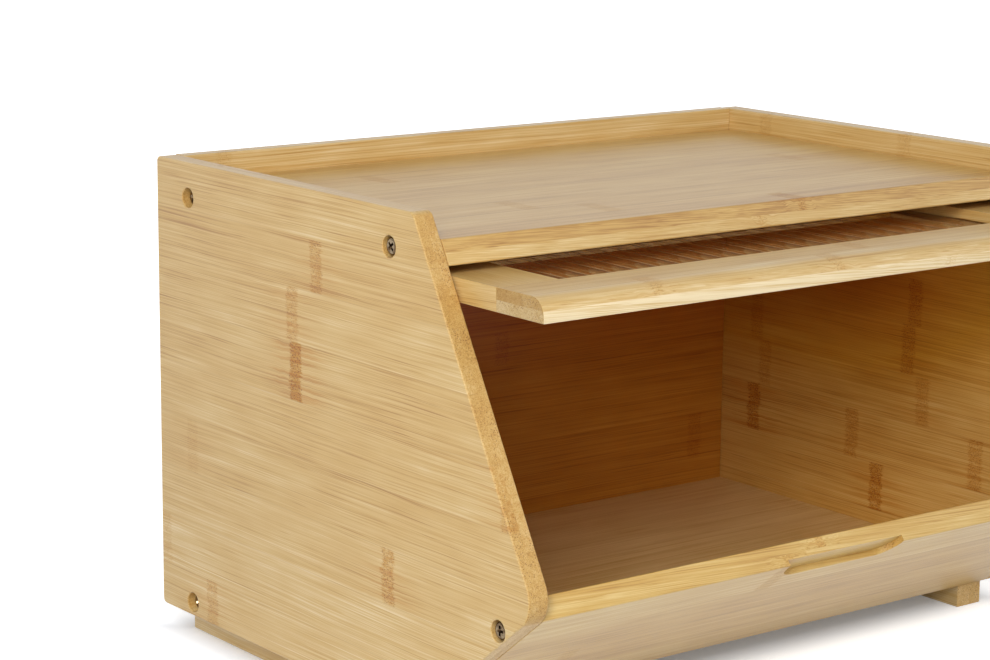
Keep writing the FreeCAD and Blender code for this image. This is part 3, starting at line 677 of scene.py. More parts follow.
class Bench:
    """The modelling tools, each used as by hand: select, then operate."""

    ARRIS = 0.8 * MM
    SHARP, FLAT = math.radians(30), math.radians(35)
    TURNS = {Axis.X: (0.0, math.pi / 2, 0.0), Axis.Y: (math.pi / 2, 0.0, 0.0),
             Axis.Z: (0.0, 0.0, 0.0)}

    @staticmethod
    def take(piece: Piece) -> None:
        """Selects one object alone."""
        bpy.ops.object.select_all(action="DESELECT")
        piece.select_set(True)
        bpy.context.view_layer.objects.active = piece

    @classmethod
    def settle(cls, piece: Piece) -> None:
        """Moves the object's place, turn and size into its mesh."""
        cls.take(piece)
        bpy.ops.object.transform_apply(location=True, rotation=True, scale=True)

    @classmethod
    def _new(cls, name: str, adder: Callable, **settings: object) -> Piece:
        """Adds a primitive and names it."""
        bpy.ops.object.select_all(action="DESELECT")
        adder(**settings)
        piece = bpy.context.active_object
        piece.name = piece.data.name = name
        cls.settle(piece)
        return piece

    @classmethod
    def box(cls, name: str, low: Triple, high: Triple) -> Piece:
        """A box between two corners."""
        return cls._new(name, bpy.ops.mesh.primitive_cube_add, size=1.0,
                        location=[(a + b) / 2 for a, b in zip(low, high)],
                        scale=[b - a for a, b in zip(low, high)])

    @classmethod
    def rod(cls, name: str, axis: Axis, start: Triple, length: float, radius: float,
            sides: int = 48) -> Piece:
        """A round rod from a starting point, along one axis and in its positive direction."""
        centre = list(start)
        centre[axis.value] += length / 2
        return cls._new(name, bpy.ops.mesh.primitive_cylinder_add, vertices=sides, radius=radius,
                        depth=length, location=centre, rotation=cls.TURNS[axis])

    @classmethod
    def sink(cls, name: str, face: float, into: int, place: Pair, depth: float,
             radius: float) -> Piece:
        """A rod along X that goes into a face, its other end standing 1 mm out of it."""
        start = face - MM if into > 0 else face - depth
        return cls.rod(name, Axis.X, (start, *place), depth + MM, radius)

    @classmethod
    def plane(cls, name: str, size: float, height: float) -> Piece:
        """A level square about the Z axis."""
        return cls._new(name, bpy.ops.mesh.primitive_plane_add, size=size,
                        location=(0.0, 0.0, height))

    @classmethod
    def pick(cls, piece: Piece, test: Test, mode: str) -> int:
        """Goes into edit mode and selects the vertices, edges or faces that pass a test.

        Args:
            piece: the object that is shaped.
            test: a test on a vertex's place, which every corner of an element has to pass.
            mode: "VERT", "EDGE" or "FACE".

        Returns:
            How many elements are selected.
        """
        cls.take(piece)
        bpy.ops.object.mode_set(mode="EDIT")
        bpy.ops.mesh.select_mode(type=mode)
        bpy.ops.mesh.select_all(action="DESELECT")
        mesh = bmesh.from_edit_mesh(piece.data)
        chosen = {vertex for vertex in mesh.verts if test(vertex.co)}
        elements = {"VERT": mesh.verts, "EDGE": mesh.edges, "FACE": mesh.faces}[mode]
        passed = [element for element in elements
                  if all(corner in chosen for corner in getattr(element, "verts", [element]))]
        for element in passed:
            element.select_set(True)
        mesh.select_flush_mode()
        bmesh.update_edit_mesh(piece.data)
        return len(passed)

    @staticmethod
    def leave() -> None:
        """Goes back to object mode."""
        bpy.ops.object.mode_set(mode="OBJECT")

    @classmethod
    def resize(cls, piece: Piece, test: Test, mode: str, factors: Triple, centre: Triple) -> None:
        """Makes what passes a test larger or smaller about a point."""
        cls.pick(piece, test, mode)
        bpy.ops.transform.resize(value=factors, center_override=centre)
        cls.leave()

    @classmethod
    def slice(cls, piece: Piece, point: Triple, normal: Triple, away: bool = True) -> None:
        """Cuts through a piece at a plane, and unless told not to, takes away what lies on the
        normal's side and closes the cut."""
        cls.pick(piece, lambda place: True, "FACE")
        bpy.ops.mesh.bisect(plane_co=point, plane_no=normal, use_fill=away, clear_outer=away)
        cls.leave()

    @classmethod
    def round_edges(cls, piece: Piece, test: Test, offset: float, segments: int) -> None:
        """Rounds the edges whose ends pass a test."""
        if cls.pick(piece, test, "EDGE"):
            bpy.ops.mesh.bevel(offset=offset, segments=segments, profile=0.5, affect="EDGES")
        cls.leave()

    @classmethod
    def apply(cls, piece: Piece, kind: str, **settings: object) -> None:
        """Adds one modifier with its settings and applies it."""
        cls.take(piece)
        modifier = piece.modifiers.new(kind.title(), kind)
        for key, setting in settings.items():
            setattr(modifier, key, setting)
        bpy.ops.object.modifier_apply(modifier=modifier.name)

    @classmethod
    def cut(cls, piece: Piece, *tools: Piece, how: str = "DIFFERENCE") -> None:
        """Takes the tools' shapes out of the piece or adds them, and throws the tools away."""
        for tool in tools:
            cls.apply(piece, "BOOLEAN", operation=how, solver="EXACT", object=tool)
            bpy.data.objects.remove(tool, do_unlink=True)

    @classmethod
    def join(cls, piece: Piece, others: list[Piece]) -> None:
        """Makes several objects one."""
        cls.take(piece)
        for other in others:
            other.select_set(True)
        bpy.ops.object.join()

    @classmethod
    def ease(cls, piece: Piece, width: float = ARRIS, segments: int = 3) -> None:
        """Eases every sharp edge, as sandpaper does."""
        cls.apply(piece, "BEVEL", width=width, segments=segments, limit_method="ANGLE",
                  angle_limit=cls.SHARP, harden_normals=False)

    @classmethod
    def smooth(cls, piece: Piece) -> None:
        """Shades the rounded parts smooth and keeps the flats flat."""
        cls.take(piece)
        bpy.ops.object.shade_smooth_by_angle(angle=cls.FLAT)
        cls.apply(piece, "WEIGHTED_NORMAL", keep_sharp=True, weight=100)

    @staticmethod
    def finish(piece: Piece, body: str, slot: str, material: Material, *nodes: str) -> Piece:
        """Gives a finished piece its material, its body and the nodes that it stands for."""
        piece.data.materials.clear()
        piece.data.materials.append(material)
        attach(piece, body)
        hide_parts(*nodes)
        LOG.info("%s: %d faces on %s", piece.name, len(piece.data.polygons), body)
        return piece

    @classmethod
    def finish_board(cls, piece: Piece, body: str, finish: Bamboo, node: str) -> Piece:
        """Smooths a bamboo piece and finishes it."""
        cls.smooth(piece)
        return cls.finish(piece, body, "bamboo", finish.material(), node)


def dress(frame: dict, node: str, material: Material) -> None:
    """Gives a node of the frame its material."""
    mesh = frame["nodes"][node].data
    mesh.materials.clear()
    mesh.materials.append(material)
    LOG.info("%s: dressed in %s", node, material.name)


# --- screws ---

@dataclass
class ScrewSet:
    """The cross-recessed screws of one node, all alike, copied from one model.

    Fields: the node, the direction that the heads face, the places of the heads' seats, and
    the screws' length and other measures in metres.
    """

    node: str
    direction: Triple
    seats: list[Triple]
    length: float = 30 * MM
    head_radius: float = 4 * MM
    head_height: float = 2.4 * MM
    head_rounding: float = 1.5 * MM
    shank_radius: float = 2 * MM
    tip: float = 5 * MM
    recess_half: float = 2.9 * MM
    recess_thin: float = 0.66 * MM
    recess_depth: float = 1.8 * MM
    thread_turns: int = 12
    thread_rise: float = 0.25 * MM

    HEAD_STEPS, SHANK_SIDES, POINT = 6, 24, 0.06
    RECESS_TAPER = (0.35, 0.7, 1.0)

    def pattern(self) -> Piece:
        """Models one screw, its seat at the origin and its head towards +Z."""
        top, low = self.head_height, self.tip - self.length
        screw = Bench.rod(f"{self.node}_pattern", Axis.Z, (0.0, 0.0, 0.0), top, self.head_radius)
        Bench.round_edges(screw, at(z=top), self.head_rounding, self.HEAD_STEPS)
        Bench.cut(screw, *(self._wing(turn) for turn in (0.0, math.pi / 2)))
        shank = Bench.rod("shank", Axis.Z, (0.0, 0.0, low), -low, self.shank_radius,
                          self.SHANK_SIDES)
        self._taper(shank, low)
        self._thread(shank, low)
        Bench.cut(screw, shank, how="UNION")
        Bench.smooth(screw)
        return screw

    def _wing(self, turn: float) -> Piece:
        """One wing of the cross, narrowing towards the bottom of the recess."""
        low = self.head_height - self.recess_depth
        wing = Bench.box("wing", (-self.recess_half, -self.recess_thin, low),
                         (self.recess_half, self.recess_thin, self.head_height + MM))
        Bench.resize(wing, at(z=low), "FACE", self.RECESS_TAPER, (0.0, 0.0, low))
        wing.rotation_euler.z = turn
        Bench.settle(wing)
        return wing

    def _taper(self, shank: Piece, low: float) -> None:
        """Draws the shank's lower end out to a point."""
        Bench.pick(shank, at(z=low), "FACE")
        bpy.ops.mesh.extrude_region_move(TRANSFORM_OT_translate={"value": (0.0, 0.0, -self.tip)})
        bpy.ops.transform.resize(value=(self.POINT, self.POINT, 1.0),
                                 center_override=(0.0, 0.0, -self.length))
        Bench.leave()

    def _thread(self, shank: Piece, low: float) -> None:
        """Cuts rings into the lower half of the shank."""
        pitch = -low / 2 / self.thread_turns
        levels = [low + turn * pitch / 2 + pitch / 4 for turn in range(2 * self.thread_turns)]
        for level in levels:
            Bench.slice(shank, (0.0, 0.0, level), (0.0, 0.0, 1.0), away=False)
        waist = 1 - self.thread_rise / self.shank_radius
        for level in levels[::2]:
            Bench.resize(shank, at(z=level), "VERT", (waist, waist, 1.0), (0.0, 0.0, level))

    def build(self, material: Material, seed: int) -> Piece:
        """Copies the screw to each seat, each turned by chance, and makes them one piece.

        Args:
            material: the screws' finish.
            seed: the draw for how far each screw was turned.

        Returns:
            The piece.
        """
        draw = random.Random(seed)
        pattern = self.pattern()
        facing = Vector((0.0, 0.0, 1.0)).rotation_difference(Vector(self.direction))
        copies = []
        for seat in self.seats:
            copy = pattern.copy()
            copy.data = pattern.data.copy()
            bpy.context.scene.collection.objects.link(copy)
            turn = Matrix.Rotation(draw.uniform(0.0, math.pi / 2), 4, "Z")
            copy.matrix_world = (Matrix.Translation(Vector(seat))
                                 @ facing.to_matrix().to_4x4() @ turn)
            copies.append(copy)
        bpy.data.objects.remove(pattern, do_unlink=True)
        whole = copies[0]
        whole.name = whole.data.name = f"{self.node}_turned"
        Bench.join(whole, copies[1:])
        Bench.settle(whole)
        return Bench.finish(whole, "carcass", "zinc_plated_steel", material, self.node)


# --- carcass ---

@dataclass
class Fixing:
    """A screw through a side panel: its place in Y and Z, and how deep its bore is."""

    place: Pair
    sink: float


@dataclass
class SidePanel:
    """A side panel with a slanted front, an undercut nose, bores and a glide groove."""

    side: Side
    finish: Bamboo
    fixings: tuple[Fixing, ...]
    depth: float = 284.4 * MM
    nose_height: float = 65.9 * MM
    nose_radius: float = 13.0 * MM
    brow_radius: float = 4.0 * MM
    heel_radius: float = 2.5 * MM
    shank_hole: float = 2.15 * MM
    shank_depth: float = 11 * MM
    groove_radius: float = 3.7 * MM
    groove_depth: float = 5.2 * MM
    groove_travel: float = 110.7 * MM
    groove_start: Pair = (-73.517 * MM, DOOR_MIDDLE * MM)

    NOSE_STEPS, BROW_STEPS, HEEL_STEPS = 14, 6, 5
    RIM_EXTRA, RIM_WIDE, RIM_NARROW = 0.1 * MM, 1.18, 0.93

    def build(self) -> Piece:
        """Models the panel and gives it its finish."""
        node = f"{self.side.word}_side_panel"
        low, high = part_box(node)
        outer, inner = (low.x, high.x) if self.side is Side.LEFT else (high.x, low.x)
        apex = self._apex(low, high)
        panel = Bench.box(f"{node}_board", (low.x, apex[0], low.z), tuple(high))
        Bench.slice(panel, (0.0, *apex), Carcass.FRONT_SLANT)
        Bench.slice(panel, (0.0, *apex), Carcass.FRONT_UNDER)
        self._round_corners(panel, low, high, apex)
        Bench.ease(panel)
        for fixing in self.fixings:
            Bench.cut(panel, *self._bore(fixing, outer))
        Bench.cut(panel, self._groove(inner))
        return Bench.finish_board(panel, "carcass", self.finish, node)

    def _apex(self, low: Vector, high: Vector) -> Pair:
        """Where the slant and the undercut would meet, in Y and Z."""
        spread = (math.cos(SLANT) + math.cos(UNDER)) / math.sin(SLANT + UNDER) - 1
        return high.y - self.depth - self.nose_radius * spread, low.z + self.nose_height

    def _round_corners(self, panel: Piece, low: Vector, high: Vector, apex: Pair) -> None:
        """Rounds the nose, the brow and the two rear corners."""
        nose = self.nose_radius / math.tan((SLANT + UNDER) / 2)
        brow = self.brow_radius / math.tan((math.pi - SLANT) / 2)
        brow_y = apex[0] + (high.z - apex[1]) / math.tan(SLANT)
        for y, z, reach, steps in (
                (*apex, nose, self.NOSE_STEPS), (brow_y, high.z, brow, self.BROW_STEPS),
                (high.y, low.z, self.heel_radius, self.HEEL_STEPS),
                (high.y, high.z, self.heel_radius, self.HEEL_STEPS)):
            Bench.round_edges(panel, at(y=y, z=z), reach, steps)

    def _bore(self, fixing: Fixing, outer: float) -> list[Piece]:
        """The cutters of one fixing: a bore with an eased rim, and the hole for the shank."""
        inward = -self.side.value
        cutters = [Bench.sink("bore", outer, inward, fixing.place, depth, radius)
                   for radius, depth in ((BORE_RADIUS, fixing.sink),
                                         (self.shank_hole, self.shank_depth))]
        rim = Bench.rod("rim", Axis.X, (outer - MM / 2, *fixing.place), MM,
                        BORE_RADIUS + self.RIM_EXTRA)
        for end, factor in ((outer - inward * MM / 2, self.RIM_WIDE),
                            (outer + inward * MM / 2, self.RIM_NARROW)):
            Bench.resize(rim, at(x=end), "FACE", (1.0, factor, factor), (end, *fixing.place))
        return [*cutters, rim]

    def _groove(self, inner: float) -> Piece:
        """The cutter of the glide groove: a rod drawn out into a slot."""
        slot = Bench.sink("slot", inner, self.side.value, self.groove_start, self.groove_depth,
                          self.groove_radius)
        Bench.pick(slot, lambda p: p.y > self.groove_start[0], "VERT")
        bpy.ops.transform.translate(value=(0.0, self.groove_travel, 0.0))
        Bench.leave()
        return slot


@dataclass
class Board:
    """A board between the side panels.

    Fields: the node, its finish, the plane that its front end is cut to, as the direction it
    faces and a point in Y and Z, and its bores, each an axis, a starting point and a length.
    """

    node: str
    finish: Bamboo
    front: Triple | None = None
    corner: Pair | None = None
    bores: list[tuple[Axis, Triple, float]] = field(default_factory=list)

    EASE = 0.6 * MM

    def build(self) -> Piece:
        """Models the board and gives it its finish."""
        low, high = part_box(self.node)
        board = Bench.box(f"{self.node}_board", tuple(low), tuple(high))
        if self.front:
            Bench.slice(board, (0.0, *self.corner), self.front)
        Bench.ease(board, self.EASE)
        for axis, start, length in self.bores:
            Bench.cut(board, Bench.rod("hole", axis, start, length, BORE_RADIUS))
        return Bench.finish_board(board, "carcass", self.finish, self.node)


@dataclass
class Apron:
    """The board under the nose, modelled flat and tilted, with a finger notch in its top edge."""

    finish: Bamboo
    half: float = 170 * MM
    length: float = 96.659 * MM
    thickness: float = 10.5 * MM
    top: Pair = (-138.735 * MM, 72.172 * MM)
    notch_left: float = -35.5 * MM
    notch_right: float = 32.9 * MM
    notch_height: float = 12.0 * MM
    notch_depth: float = 2.8 * MM
    notch_radius: float = 10.0 * MM
    notch_clear: float = 5 * MM

    NOTCH_STEPS = 12

    def build(self) -> Piece:
        """Models the apron and gives it its finish."""
        apron = Bench.box("front_apron_board", (-self.half, 0.0, 0.0),
                          (self.half, self.length, self.thickness))
        Bench.ease(apron, Board.EASE)
        Bench.cut(apron, self._notch())
        apron.rotation_euler.x = -UNDER
        apron.location = (0.0, *self.top)
        Bench.settle(apron)
        return Bench.finish_board(apron, "carcass", self.finish, "front_apron")

    def _notch(self) -> Piece:
        """The cutter of the finger notch, its lower corners rounded."""
        notch = Bench.box("notch", (self.notch_left, -self.notch_clear, -MM),
                          (self.notch_right, self.notch_height, self.notch_depth))
        for end in (self.notch_left, self.notch_right):
            Bench.round_edges(notch, at(x=end, y=self.notch_height), self.notch_radius,
                              self.NOTCH_STEPS)
        return notch


# The strips of the plies that show, each as width, tone, and place and strength of its joints.
LEFT_OUTER = Ply(12.0, strips(
    (21.0, 0.38, 97.0, 0.7), (24.0, 0.33, 138.0, 0.4), (25.0, 0.43, -45.0, 0.9),
    (25.0, 0.51, 113.0, 0.25), (25.0, 0.49, -128.0, 0.7), (26.0, 0.53, 25.0, 1.7),
    (25.0, 0.47, 28.0, 0.7), (23.0, 0.55, 9.0, 0.75), (22.0, 0.5)))
RIGHT_INNER = Ply(5.0, strips(
    (25.0, 0.5), (25.5, 0.47, 15.0, 1.2), (25.0, 0.53, 109.0, 1.3, 34.0, 0.7, -53.0, 0.7),
    (25.0, 0.45, 101.0, 0.5, -15.5, 0.6), (25.5, 0.51, 108.0, 0.5, -4.5, 0.8),
    (24.0, 0.55, -8.0, 0.8), (25.0, 0.47), (25.0, 0.49), (27.0, 0.42, 105.6, 0.35, 4.0, 0.35)))
BACK_INNER = Ply(12.0, strips(
    (25.0, 0.5), (24.0, 0.54, 150.0, 0.5), (24.0, 0.48), (20.0, 0.55), (17.0, 0.5, 17.0, 0.5),
    (26.0, 0.57), (25.0, 0.47), (26.0, 0.53), (15.0, 0.5), (30.0, 0.34, -148.0, 0.3)))
SHELF_UPPER = Ply(-76.0, strips(
    (25.0, 0.75, 30.0, 0.6), (24.0, 0.57, -62.0, 0.3), (25.0, 0.61, -89.0, 0.35), (25.0, 0.55),
    (24.0, 0.64, 120.0, 0.3), (25.0, 0.53), (25.0, 0.60, -95.0, 0.4), (25.0, 0.57),
    (25.0, 0.63)))
SHELF_LOWER = strips((25.0, 0.42, 4.0, 0.45))
APRON_OUTER = strips((25.0, 0.36, -35.0, 0.5), (25.0, 0.62), (25.0, 0.56, -122.0, 0.3))
APRON_INNER = strips((25.0, 0.5, -14.0, 0.6))
RAIL_LOWER = strips((34.0, 0.0, 60.0, 0.2))
RAIL_UPPER = strips((17.0, 0.37, -109.0, 0.45, -7.7, 0.45))


@dataclass
class Carcass:
    """The sides, the boards between them, the runners and their fixings."""

    frame: dict

    FRONT_SLANT = (0.0, -math.sin(SLANT), math.cos(SLANT))
    FRONT_UNDER = (0.0, -math.sin(UNDER), -math.cos(UNDER))
    SIDE_FIXINGS = tuple(Fixing((y * MM, z * MM), sink * MM) for y, z, sink in (
        (114.6, SHELF_MIDDLE, 5.4), (114.6, FLOOR_MIDDLE, 5.4), (-45.643, SHELF_MIDDLE, 3.4),
        (-23.207, FLOOR_MIDDLE, 3.4), (-121.93, 65.51, 3.4), (-74.42, 27.72, 3.4)))
    FACE = 180 * MM
    BACK_XS, BACK_SEAT, BACK_BORE = (-120 * MM, 0.0, 120 * MM), 139.2 * MM, 4 * MM
    RUNNER_MIDDLE, RUNNER_YS = 161.5, (-30.595 * MM, 101.2 * MM)
    RUNNER_SEAT, RUNNER_SCREW = 6 * MM, 15 * MM
    SIDE_RUN, BOARD_RUN, RUNNER_RUN = (-140.0, 140.0), (-170.0, 170.0), (-60.0, 130.0)
    HEIGHTS, SHELF, FLOOR = (12.0, 228.0), (-76.0, 135.0), (-61.0, 135.0)

    def build(self) -> None:
        """Builds and dresses every piece of the carcass."""
        self._sides()
        self._level_boards()
        self._front_and_back()
        self._runners()
        self._screws()
        self._dowels()

    def _sides(self) -> None:
        """The two side panels."""
        for side, low_ply, seed, deep in ((Side.LEFT, LEFT_OUTER, 11, 0.9),
                                          (Side.RIGHT, RIGHT_INNER, 12, 0.95)):
            finish = Bamboo(f"bamboo_{side.word}_side", Lay.SIDE, side.value * 175.0,
                            (low_ply, Ply.lay(seed, *self.HEIGHTS, self.SIDE_RUN)),
                            # painted shade on the panel's inner face, deeper higher up and at the
                            # back
                            inner=InnerFace(Axis.X, -side.value, 0.3, deep),
                            end_tint=(248, 239, 222))
            SidePanel(side, finish, self.SIDE_FIXINGS).build()

    def _level_boards(self) -> None:
        """The shelf and the floor."""
        lower = Ply.lay(21, *self.SHELF, self.BOARD_RUN, SHELF_LOWER)
        shelf = Bamboo("bamboo_shelf", Lay.FLAT, SHELF_MIDDLE, (lower, SHELF_UPPER),
                       tint=(255, 253, 242))
        Board("top_shelf", shelf, self.FRONT_SLANT, (-74.343 * MM, SHELF_UNDER * MM)).build()
        # The floor's upper ply is laid paler as painted light, standing in for light that reaches
        # it through the pane; its upper face gets painted shade that deepens towards the back.
        plies = (Ply.lay(31, *self.FLOOR, self.BOARD_RUN),
                 Ply.lay(32, *self.FLOOR, self.BOARD_RUN, pale=0.5))
        floor = Bamboo("bamboo_floor", Lay.FLAT, FLOOR_MIDDLE, plies,
                       inner=InnerFace(Axis.Z, 1.0, low=0.2, high=0.2))
        Board("bottom_board", floor, self.FRONT_UNDER, (-60.679 * MM, FLOOR_TOP * MM)).build()

    def _front_and_back(self) -> None:
        """The back panel and the apron."""
        back = Bamboo("bamboo_back", Lay.BACK, 138.2,
                      (BACK_INNER, Ply.lay(42, *self.HEIGHTS, self.BOARD_RUN)),
                      # painted shade on the back panel's inner face, deeper higher up
                      inner=InnerFace(Axis.Y, -1.0, low=0.72, high=1.1))
        bores = [(Axis.Y, (x, self.BACK_SEAT, z * MM), self.BACK_BORE)
                 for x in self.BACK_XS for z in (SHELF_MIDDLE, FLOOR_MIDDLE)]
        Board("back_panel", back, bores=bores).build()
        plies = lay_pair(51, -154.0, -40.0, self.BOARD_RUN, APRON_OUTER, APRON_INNER)
        Apron(Bamboo("bamboo_apron", Lay.FLAT, -24.63, plies, tilt=UNDER,
                     tint=(255, 250, 220))).build()

    def _runners(self) -> None:
        """The two runners that the box stands on."""
        for side in Side:
            middle = self.RUNNER_MIDDLE * side.value
            # The runners' tones are laid paler and their end grain is paler as painted light,
            # standing in for light thrown onto them by the white floor.
            plies = lay_pair(61, -3.0, 14.0, self.RUNNER_RUN, pale=0.2)
            runner = Bamboo(f"bamboo_{side.word}_runner", Lay.SIDE, middle, plies,
                            end_tint=(255, 246, 228))
            bores = [(Axis.Z, (middle * MM, y, -MM), self.RUNNER_SEAT + MM)
                     for y in self.RUNNER_YS]
            Board(f"{side.word}_runner", runner, bores=bores).build()

    def _screws(self) -> None:
        """The screws of the sides, the back and the runners."""
        plating = zinc().material()
        for seed, side in enumerate(Side, 70):
            seats = [(side.value * (self.FACE - fixing.sink), *fixing.place)
                     for fixing in self.SIDE_FIXINGS]
            ScrewSet(f"{side.word}_side_screws", (side.value, 0.0, 0.0), seats).build(
                plating, seed)
        seats = [(x, self.BACK_SEAT, z * MM)
                 for z in (SHELF_MIDDLE, FLOOR_MIDDLE) for x in self.BACK_XS]
        ScrewSet("back_screws", (0.0, 1.0, 0.0), seats).build(plating, 73)
        seats = [(side.value * self.RUNNER_MIDDLE * MM, y, self.RUNNER_SEAT)
                 for side in Side for y in self.RUNNER_YS]
        ScrewSet("runner_screws", (0.0, 0.0, -1.0), seats, self.RUNNER_SCREW).build(plating, 74)

    def _dowels(self) -> None:
        """The dowels in the side panels."""
        wood = Bamboo("dowel_wood", Lay.FLAT, 100.0,
                      lay_pair(81, -150.0, 150.0, self.BOARD_RUN)).material()
        for side in Side:
            dress(self.frame, f"{side.word}_side_dowels", wood)


# --- door ---

@dataclass
class DoorMember:
    """A rail or stile of the door, with the rebate that holds the pane.

    Fields: the node, its finish, the corners of the rebate's cutter, and the radius of its
    upper front edge where that is rounded.
    """

    node: str
    finish: Bamboo
    rebate: tuple[Triple, Triple]
    rounding: float = 0.0

    ROUND_STEPS = 12
    EASE, EASE_STEPS = 0.3 * MM, 2

    def build(self) -> Piece:
        """Models the member and gives it its finish."""
        low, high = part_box(self.node)
        member = Bench.box(f"{self.node}_bar", tuple(low), tuple(high))
        if self.rounding:
            Bench.round_edges(member, at(y=low.y, z=high.z), self.rounding, self.ROUND_STEPS)
        Bench.ease(member, self.EASE, self.EASE_STEPS)
        Bench.cut(member, Bench.box("rebate", *self.rebate))
        return Bench.finish_board(member, "door", self.finish, self.node)


@dataclass
class Pane:
    """The clear pane: a thin sheet with round ribs from front to back on its upper face."""

    pitch: float = RIB_PITCH * MM
    rib_width: float = 12.1 * MM
    rise: float = 1.2 * MM
    sheet: float = 2.0 * MM
    count: int = 22

    RIB_SIDES = 160

    def build(self) -> Piece:
        """Models the pane and gives it its finish."""
        low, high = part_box("door_pane")
        pane = Bench.box("door_pane_sheet", tuple(low), (high.x, high.y, low.z + self.sheet))
        Bench.cut(pane, self._ribs(low, high), how="UNION")
        Bench.smooth(pane)
        return Bench.finish(pane, "door", "clear_acrylic", ClearAcrylic().material(), "door_pane")

    def _ribs(self, low: Vector, high: Vector) -> Piece:
        """The row of ribs: low segments of a round rod, sunk a little into the sheet."""
        radius = (self.rib_width ** 2 / 4 + self.rise ** 2) / (2 * self.rise)
        first = -self.pitch * (self.count - 1) / 2
        foot = high.z - self.rise - self.sheet / 2
        rib = Bench.rod("ribs", Axis.Y, (first, low.y, high.z - radius), high.y - low.y, radius,
                        self.RIB_SIDES)
        Bench.slice(rib, (0.0, 0.0, foot), (0.0, 0.0, -1.0))
        for way in (-1.0, 1.0):
            Bench.slice(rib, (first + way * self.rib_width / 2, 0.0, 0.0), (way, 0.0, 0.0))
        Bench.apply(rib, "ARRAY", count=self.count, use_relative_offset=False,
                    use_constant_offset=True, constant_offset_displace=(self.pitch, 0.0, 0.0))
        return rib


@dataclass
class Door:
    """The door: its frame, pane, dowels, pins and glides."""

    frame: dict

    SPAN, STILE_RUN, STILE = (-169.0, 169.0), (-110.0, -20.0), (-175.0, 175.0)
    ROOM_ROUND, ROOM_OVER = 0.5 * MM, 0.1 * MM

    def build(self) -> None:
        """Builds and dresses every piece of the door."""
        rebate = self._rebate()
        self._rails(rebate)
        self._stiles(rebate)
        Pane().build()
        self._fittings()

    def _rebate(self) -> tuple[Triple, Triple]:
        """The corners of the cutter that makes room for the pane."""
        low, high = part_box("door_pane")
        room = Vector((self.ROOM_ROUND, self.ROOM_ROUND, self.ROOM_OVER))
        return tuple(low - room), tuple(high + room)

    def _rails(self, rebate: tuple[Triple, Triple]) -> None:
        """The bottom rail, which leads, and the top rail."""
        plies = lay_pair(91, -138.0, -100.0, self.SPAN, RAIL_LOWER, RAIL_UPPER)
        rail = Bamboo("bamboo_bottom_rail", Lay.FLAT, DOOR_MIDDLE, plies,
                      end_tint=(216, 206, 188))
        DoorMember("door_bottom_rail", rail, rebate, rounding=8 * MM).build()
        plies = lay_pair(93, -25.0, 5.0, self.SPAN)
        rail = Bamboo("bamboo_top_rail", Lay.FLAT, DOOR_MIDDLE, plies,
                      # painted shade on the rail's front face, which looks into the pane's opening
                      inner=InnerFace(Axis.Y, -1.0, low=0.55, high=0.55))
        DoorMember("door_top_rail", rail, rebate).build()

    def _stiles(self, rebate: tuple[Triple, Triple]) -> None:
        """The two stiles."""
        for side in Side:
            plies = tuple(Ply.lay(seed + side.value, *self.STILE, self.STILE_RUN)
                          for seed in (95, 98))
            stile = Bamboo(f"bamboo_{side.word}_stile", Lay.STILE, DOOR_MIDDLE, plies)
            DoorMember(f"door_{side.word}_stile", stile, rebate).build()

    def _fittings(self) -> None:
        """The dowels, the pivot pins and the glides."""
        plies = lay_pair(83, *self.STILE, self.STILE_RUN)
        dress(self.frame, "door_dowels",
              Bamboo("door_dowel_wood", Lay.STILE, DOOR_MIDDLE, plies).material())
        plastic, steel = nylon().material(), zinc("pin_steel").material()
        for side in Side:
            dress(self.frame, f"{side.word}_pivot_pin", steel)
            dress(self.frame, f"{side.word}_glide", plastic)


# --- studio ---

@dataclass
class Lamp:
    """A soft box: where it stands round the object, its size and its strength."""

    name: str
    azimuth: float
    elevation: float
    size: float
    power: float

    DISTANCE, AIM = 2.0, 0.1

    def build(self) -> None:
        """Hangs the lamp, facing the object."""
        turn, rise = math.radians(self.azimuth), math.radians(self.elevation)
        away = Vector((math.sin(turn) * math.cos(rise), -math.cos(turn) * math.cos(rise),
                       math.sin(rise)))
        data = bpy.data.lights.new(self.name, "AREA")
        data.size, data.energy = self.size, self.power
        lamp = bpy.data.objects.new(self.name, data)
        lamp.location = Vector((0.0, 0.0, self.AIM)) + away * self.DISTANCE
        lamp.rotation_mode = "QUATERNION"
        lamp.rotation_quaternion = away.to_track_quat("Z", "Y")
        bpy.context.scene.collection.objects.link(lamp)


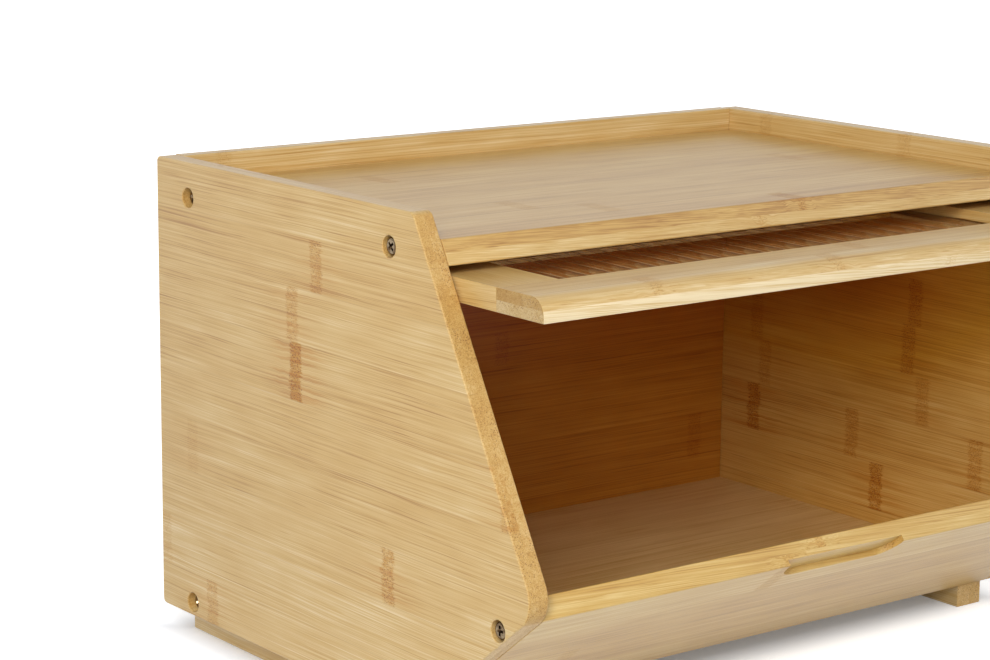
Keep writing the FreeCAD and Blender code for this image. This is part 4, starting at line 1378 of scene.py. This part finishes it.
@dataclass
class Studio:
    """The floor, the white surround, the lamps and the camera."""

    lamps: tuple[Lamp, ...] = (
        Lamp("high_box", -45.0, 35.0, 0.8, 17.6),
        Lamp("low_box", -50.0, 20.0, 0.7, 12.2),
        Lamp("right_box", 45.0, 25.0, 1.4, 7.2),
        Lamp("back_box", -165.0, 20.0, 1.4, 6.0),
    )
    surround: float = 0.2
    floor_colour: Colour = (236, 241, 249)
    camera_place: Triple = (-0.82017, -0.95809, 0.40135)
    yaw: float = 37.32
    pitch: float = 11.41
    roll: float = 0.51
    focal: float = 2740.48
    image_width: int = 990
    sensor: float = 36.0

    CLIP = (0.05, 50.0)
    FLOOR_SIZE, FLOOR_HEIGHT = 14.0, -0.05 * MM
    # The box's footprint and the floor's glow: weak under and beside the footprint as a painted
    # shadow, rising step by step to white far away.
    HALF_WIDTH, HALF_DEPTH, MIDDLE = 180.0, 100.0, 42.0
    GLOW, GLOW_STEPS = 0.14, ((-14.0, 16.0, 0.55), (0.0, 160.0, 0.2), (200.0, 900.0, 0.3))
    SEEN = ("Is Camera Ray", "Is Glossy Ray", "Is Transmission Ray")

    def build(self) -> None:
        """Sets up everything that isn't the object."""
        bpy.context.scene.view_settings.view_transform = "Standard"
        self._camera()
        self._world()
        self._floor()
        for lamp in self.lamps:
            lamp.build()

    def _camera(self) -> None:
        """The camera, from its heading, dip and roll."""
        data = bpy.data.cameras.new("camera")
        data.sensor_fit, data.sensor_width = "HORIZONTAL", self.sensor
        data.lens = self.focal * self.sensor / self.image_width
        data.clip_start, data.clip_end = self.CLIP
        camera = bpy.data.objects.new("camera", data)
        camera.matrix_world = Matrix.Translation(Vector(self.camera_place))
        for angle, axis in ((-self.yaw, "Z"), (90.0 - self.pitch, "X"), (self.roll, "Z")):
            camera.matrix_world @= Matrix.Rotation(math.radians(angle), 4, axis)
        bpy.context.scene.collection.objects.link(camera)
        bpy.context.scene.camera = camera

    def _seen(self, graph: Graph) -> Signal:
        """1 for what the camera sees directly, in a mirror or through glass, otherwise 0."""
        path = graph.node("LightPath")
        return sum(Signal(graph, path.outputs[kind]) for kind in self.SEEN).at_most(1.0)

    def _world(self) -> None:
        """A plain surround that lights softly and is seen as white."""
        world = bpy.data.worlds.new("surround")
        bpy.context.scene.world = world
        graph = Graph(world)
        strength = self.surround + self._seen(graph) * (1.0 - self.surround)
        back = graph.node("Background", {"Color": (1.0,) * 4, "Strength": strength})
        graph.node("OutputWorld", {"Surface": back.outputs[0]})

    def _floor(self) -> None:
        """A wide pale floor that keeps the object's shadow, made deeper near the box by painted
        shadow: the floor's glow is weaker close to its footprint.
        """
        floor = Bench.plane("floor", self.FLOOR_SIZE, self.FLOOR_HEIGHT)
        graph = Graph.named("floor")
        x, y, _ = graph.parts(graph.place())
        # distance from the box's footprint; the glow is weakest there, as a painted shadow, and
        # rises to white far away
        aside = (abs(x) - self.HALF_WIDTH).at_least(abs(y - self.MIDDLE) - self.HALF_DEPTH)
        white = self.GLOW
        for low, high, share in self.GLOW_STEPS:
            white = white + aside.rise(low, high) * share
        matt = graph.node("BsdfDiffuse", {"Color": paint(*self.floor_colour)})
        glow = graph.node("Emission", {"Strength": self._seen(graph) * white})
        both = graph.node("AddShader", {0: matt.outputs[0], 1: glow.outputs[0]})
        graph.node("OutputMaterial", {"Surface": both.outputs[0]})
        floor.data.materials.append(graph.owner)


def main() -> None:
    """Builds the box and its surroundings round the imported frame."""
    logging.basicConfig(level=logging.INFO, format="%(name)s: %(message)s")
    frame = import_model()
    Studio().build()
    Carcass(frame).build()
    Door(frame).build()


if __name__ == "__main__":
    main()
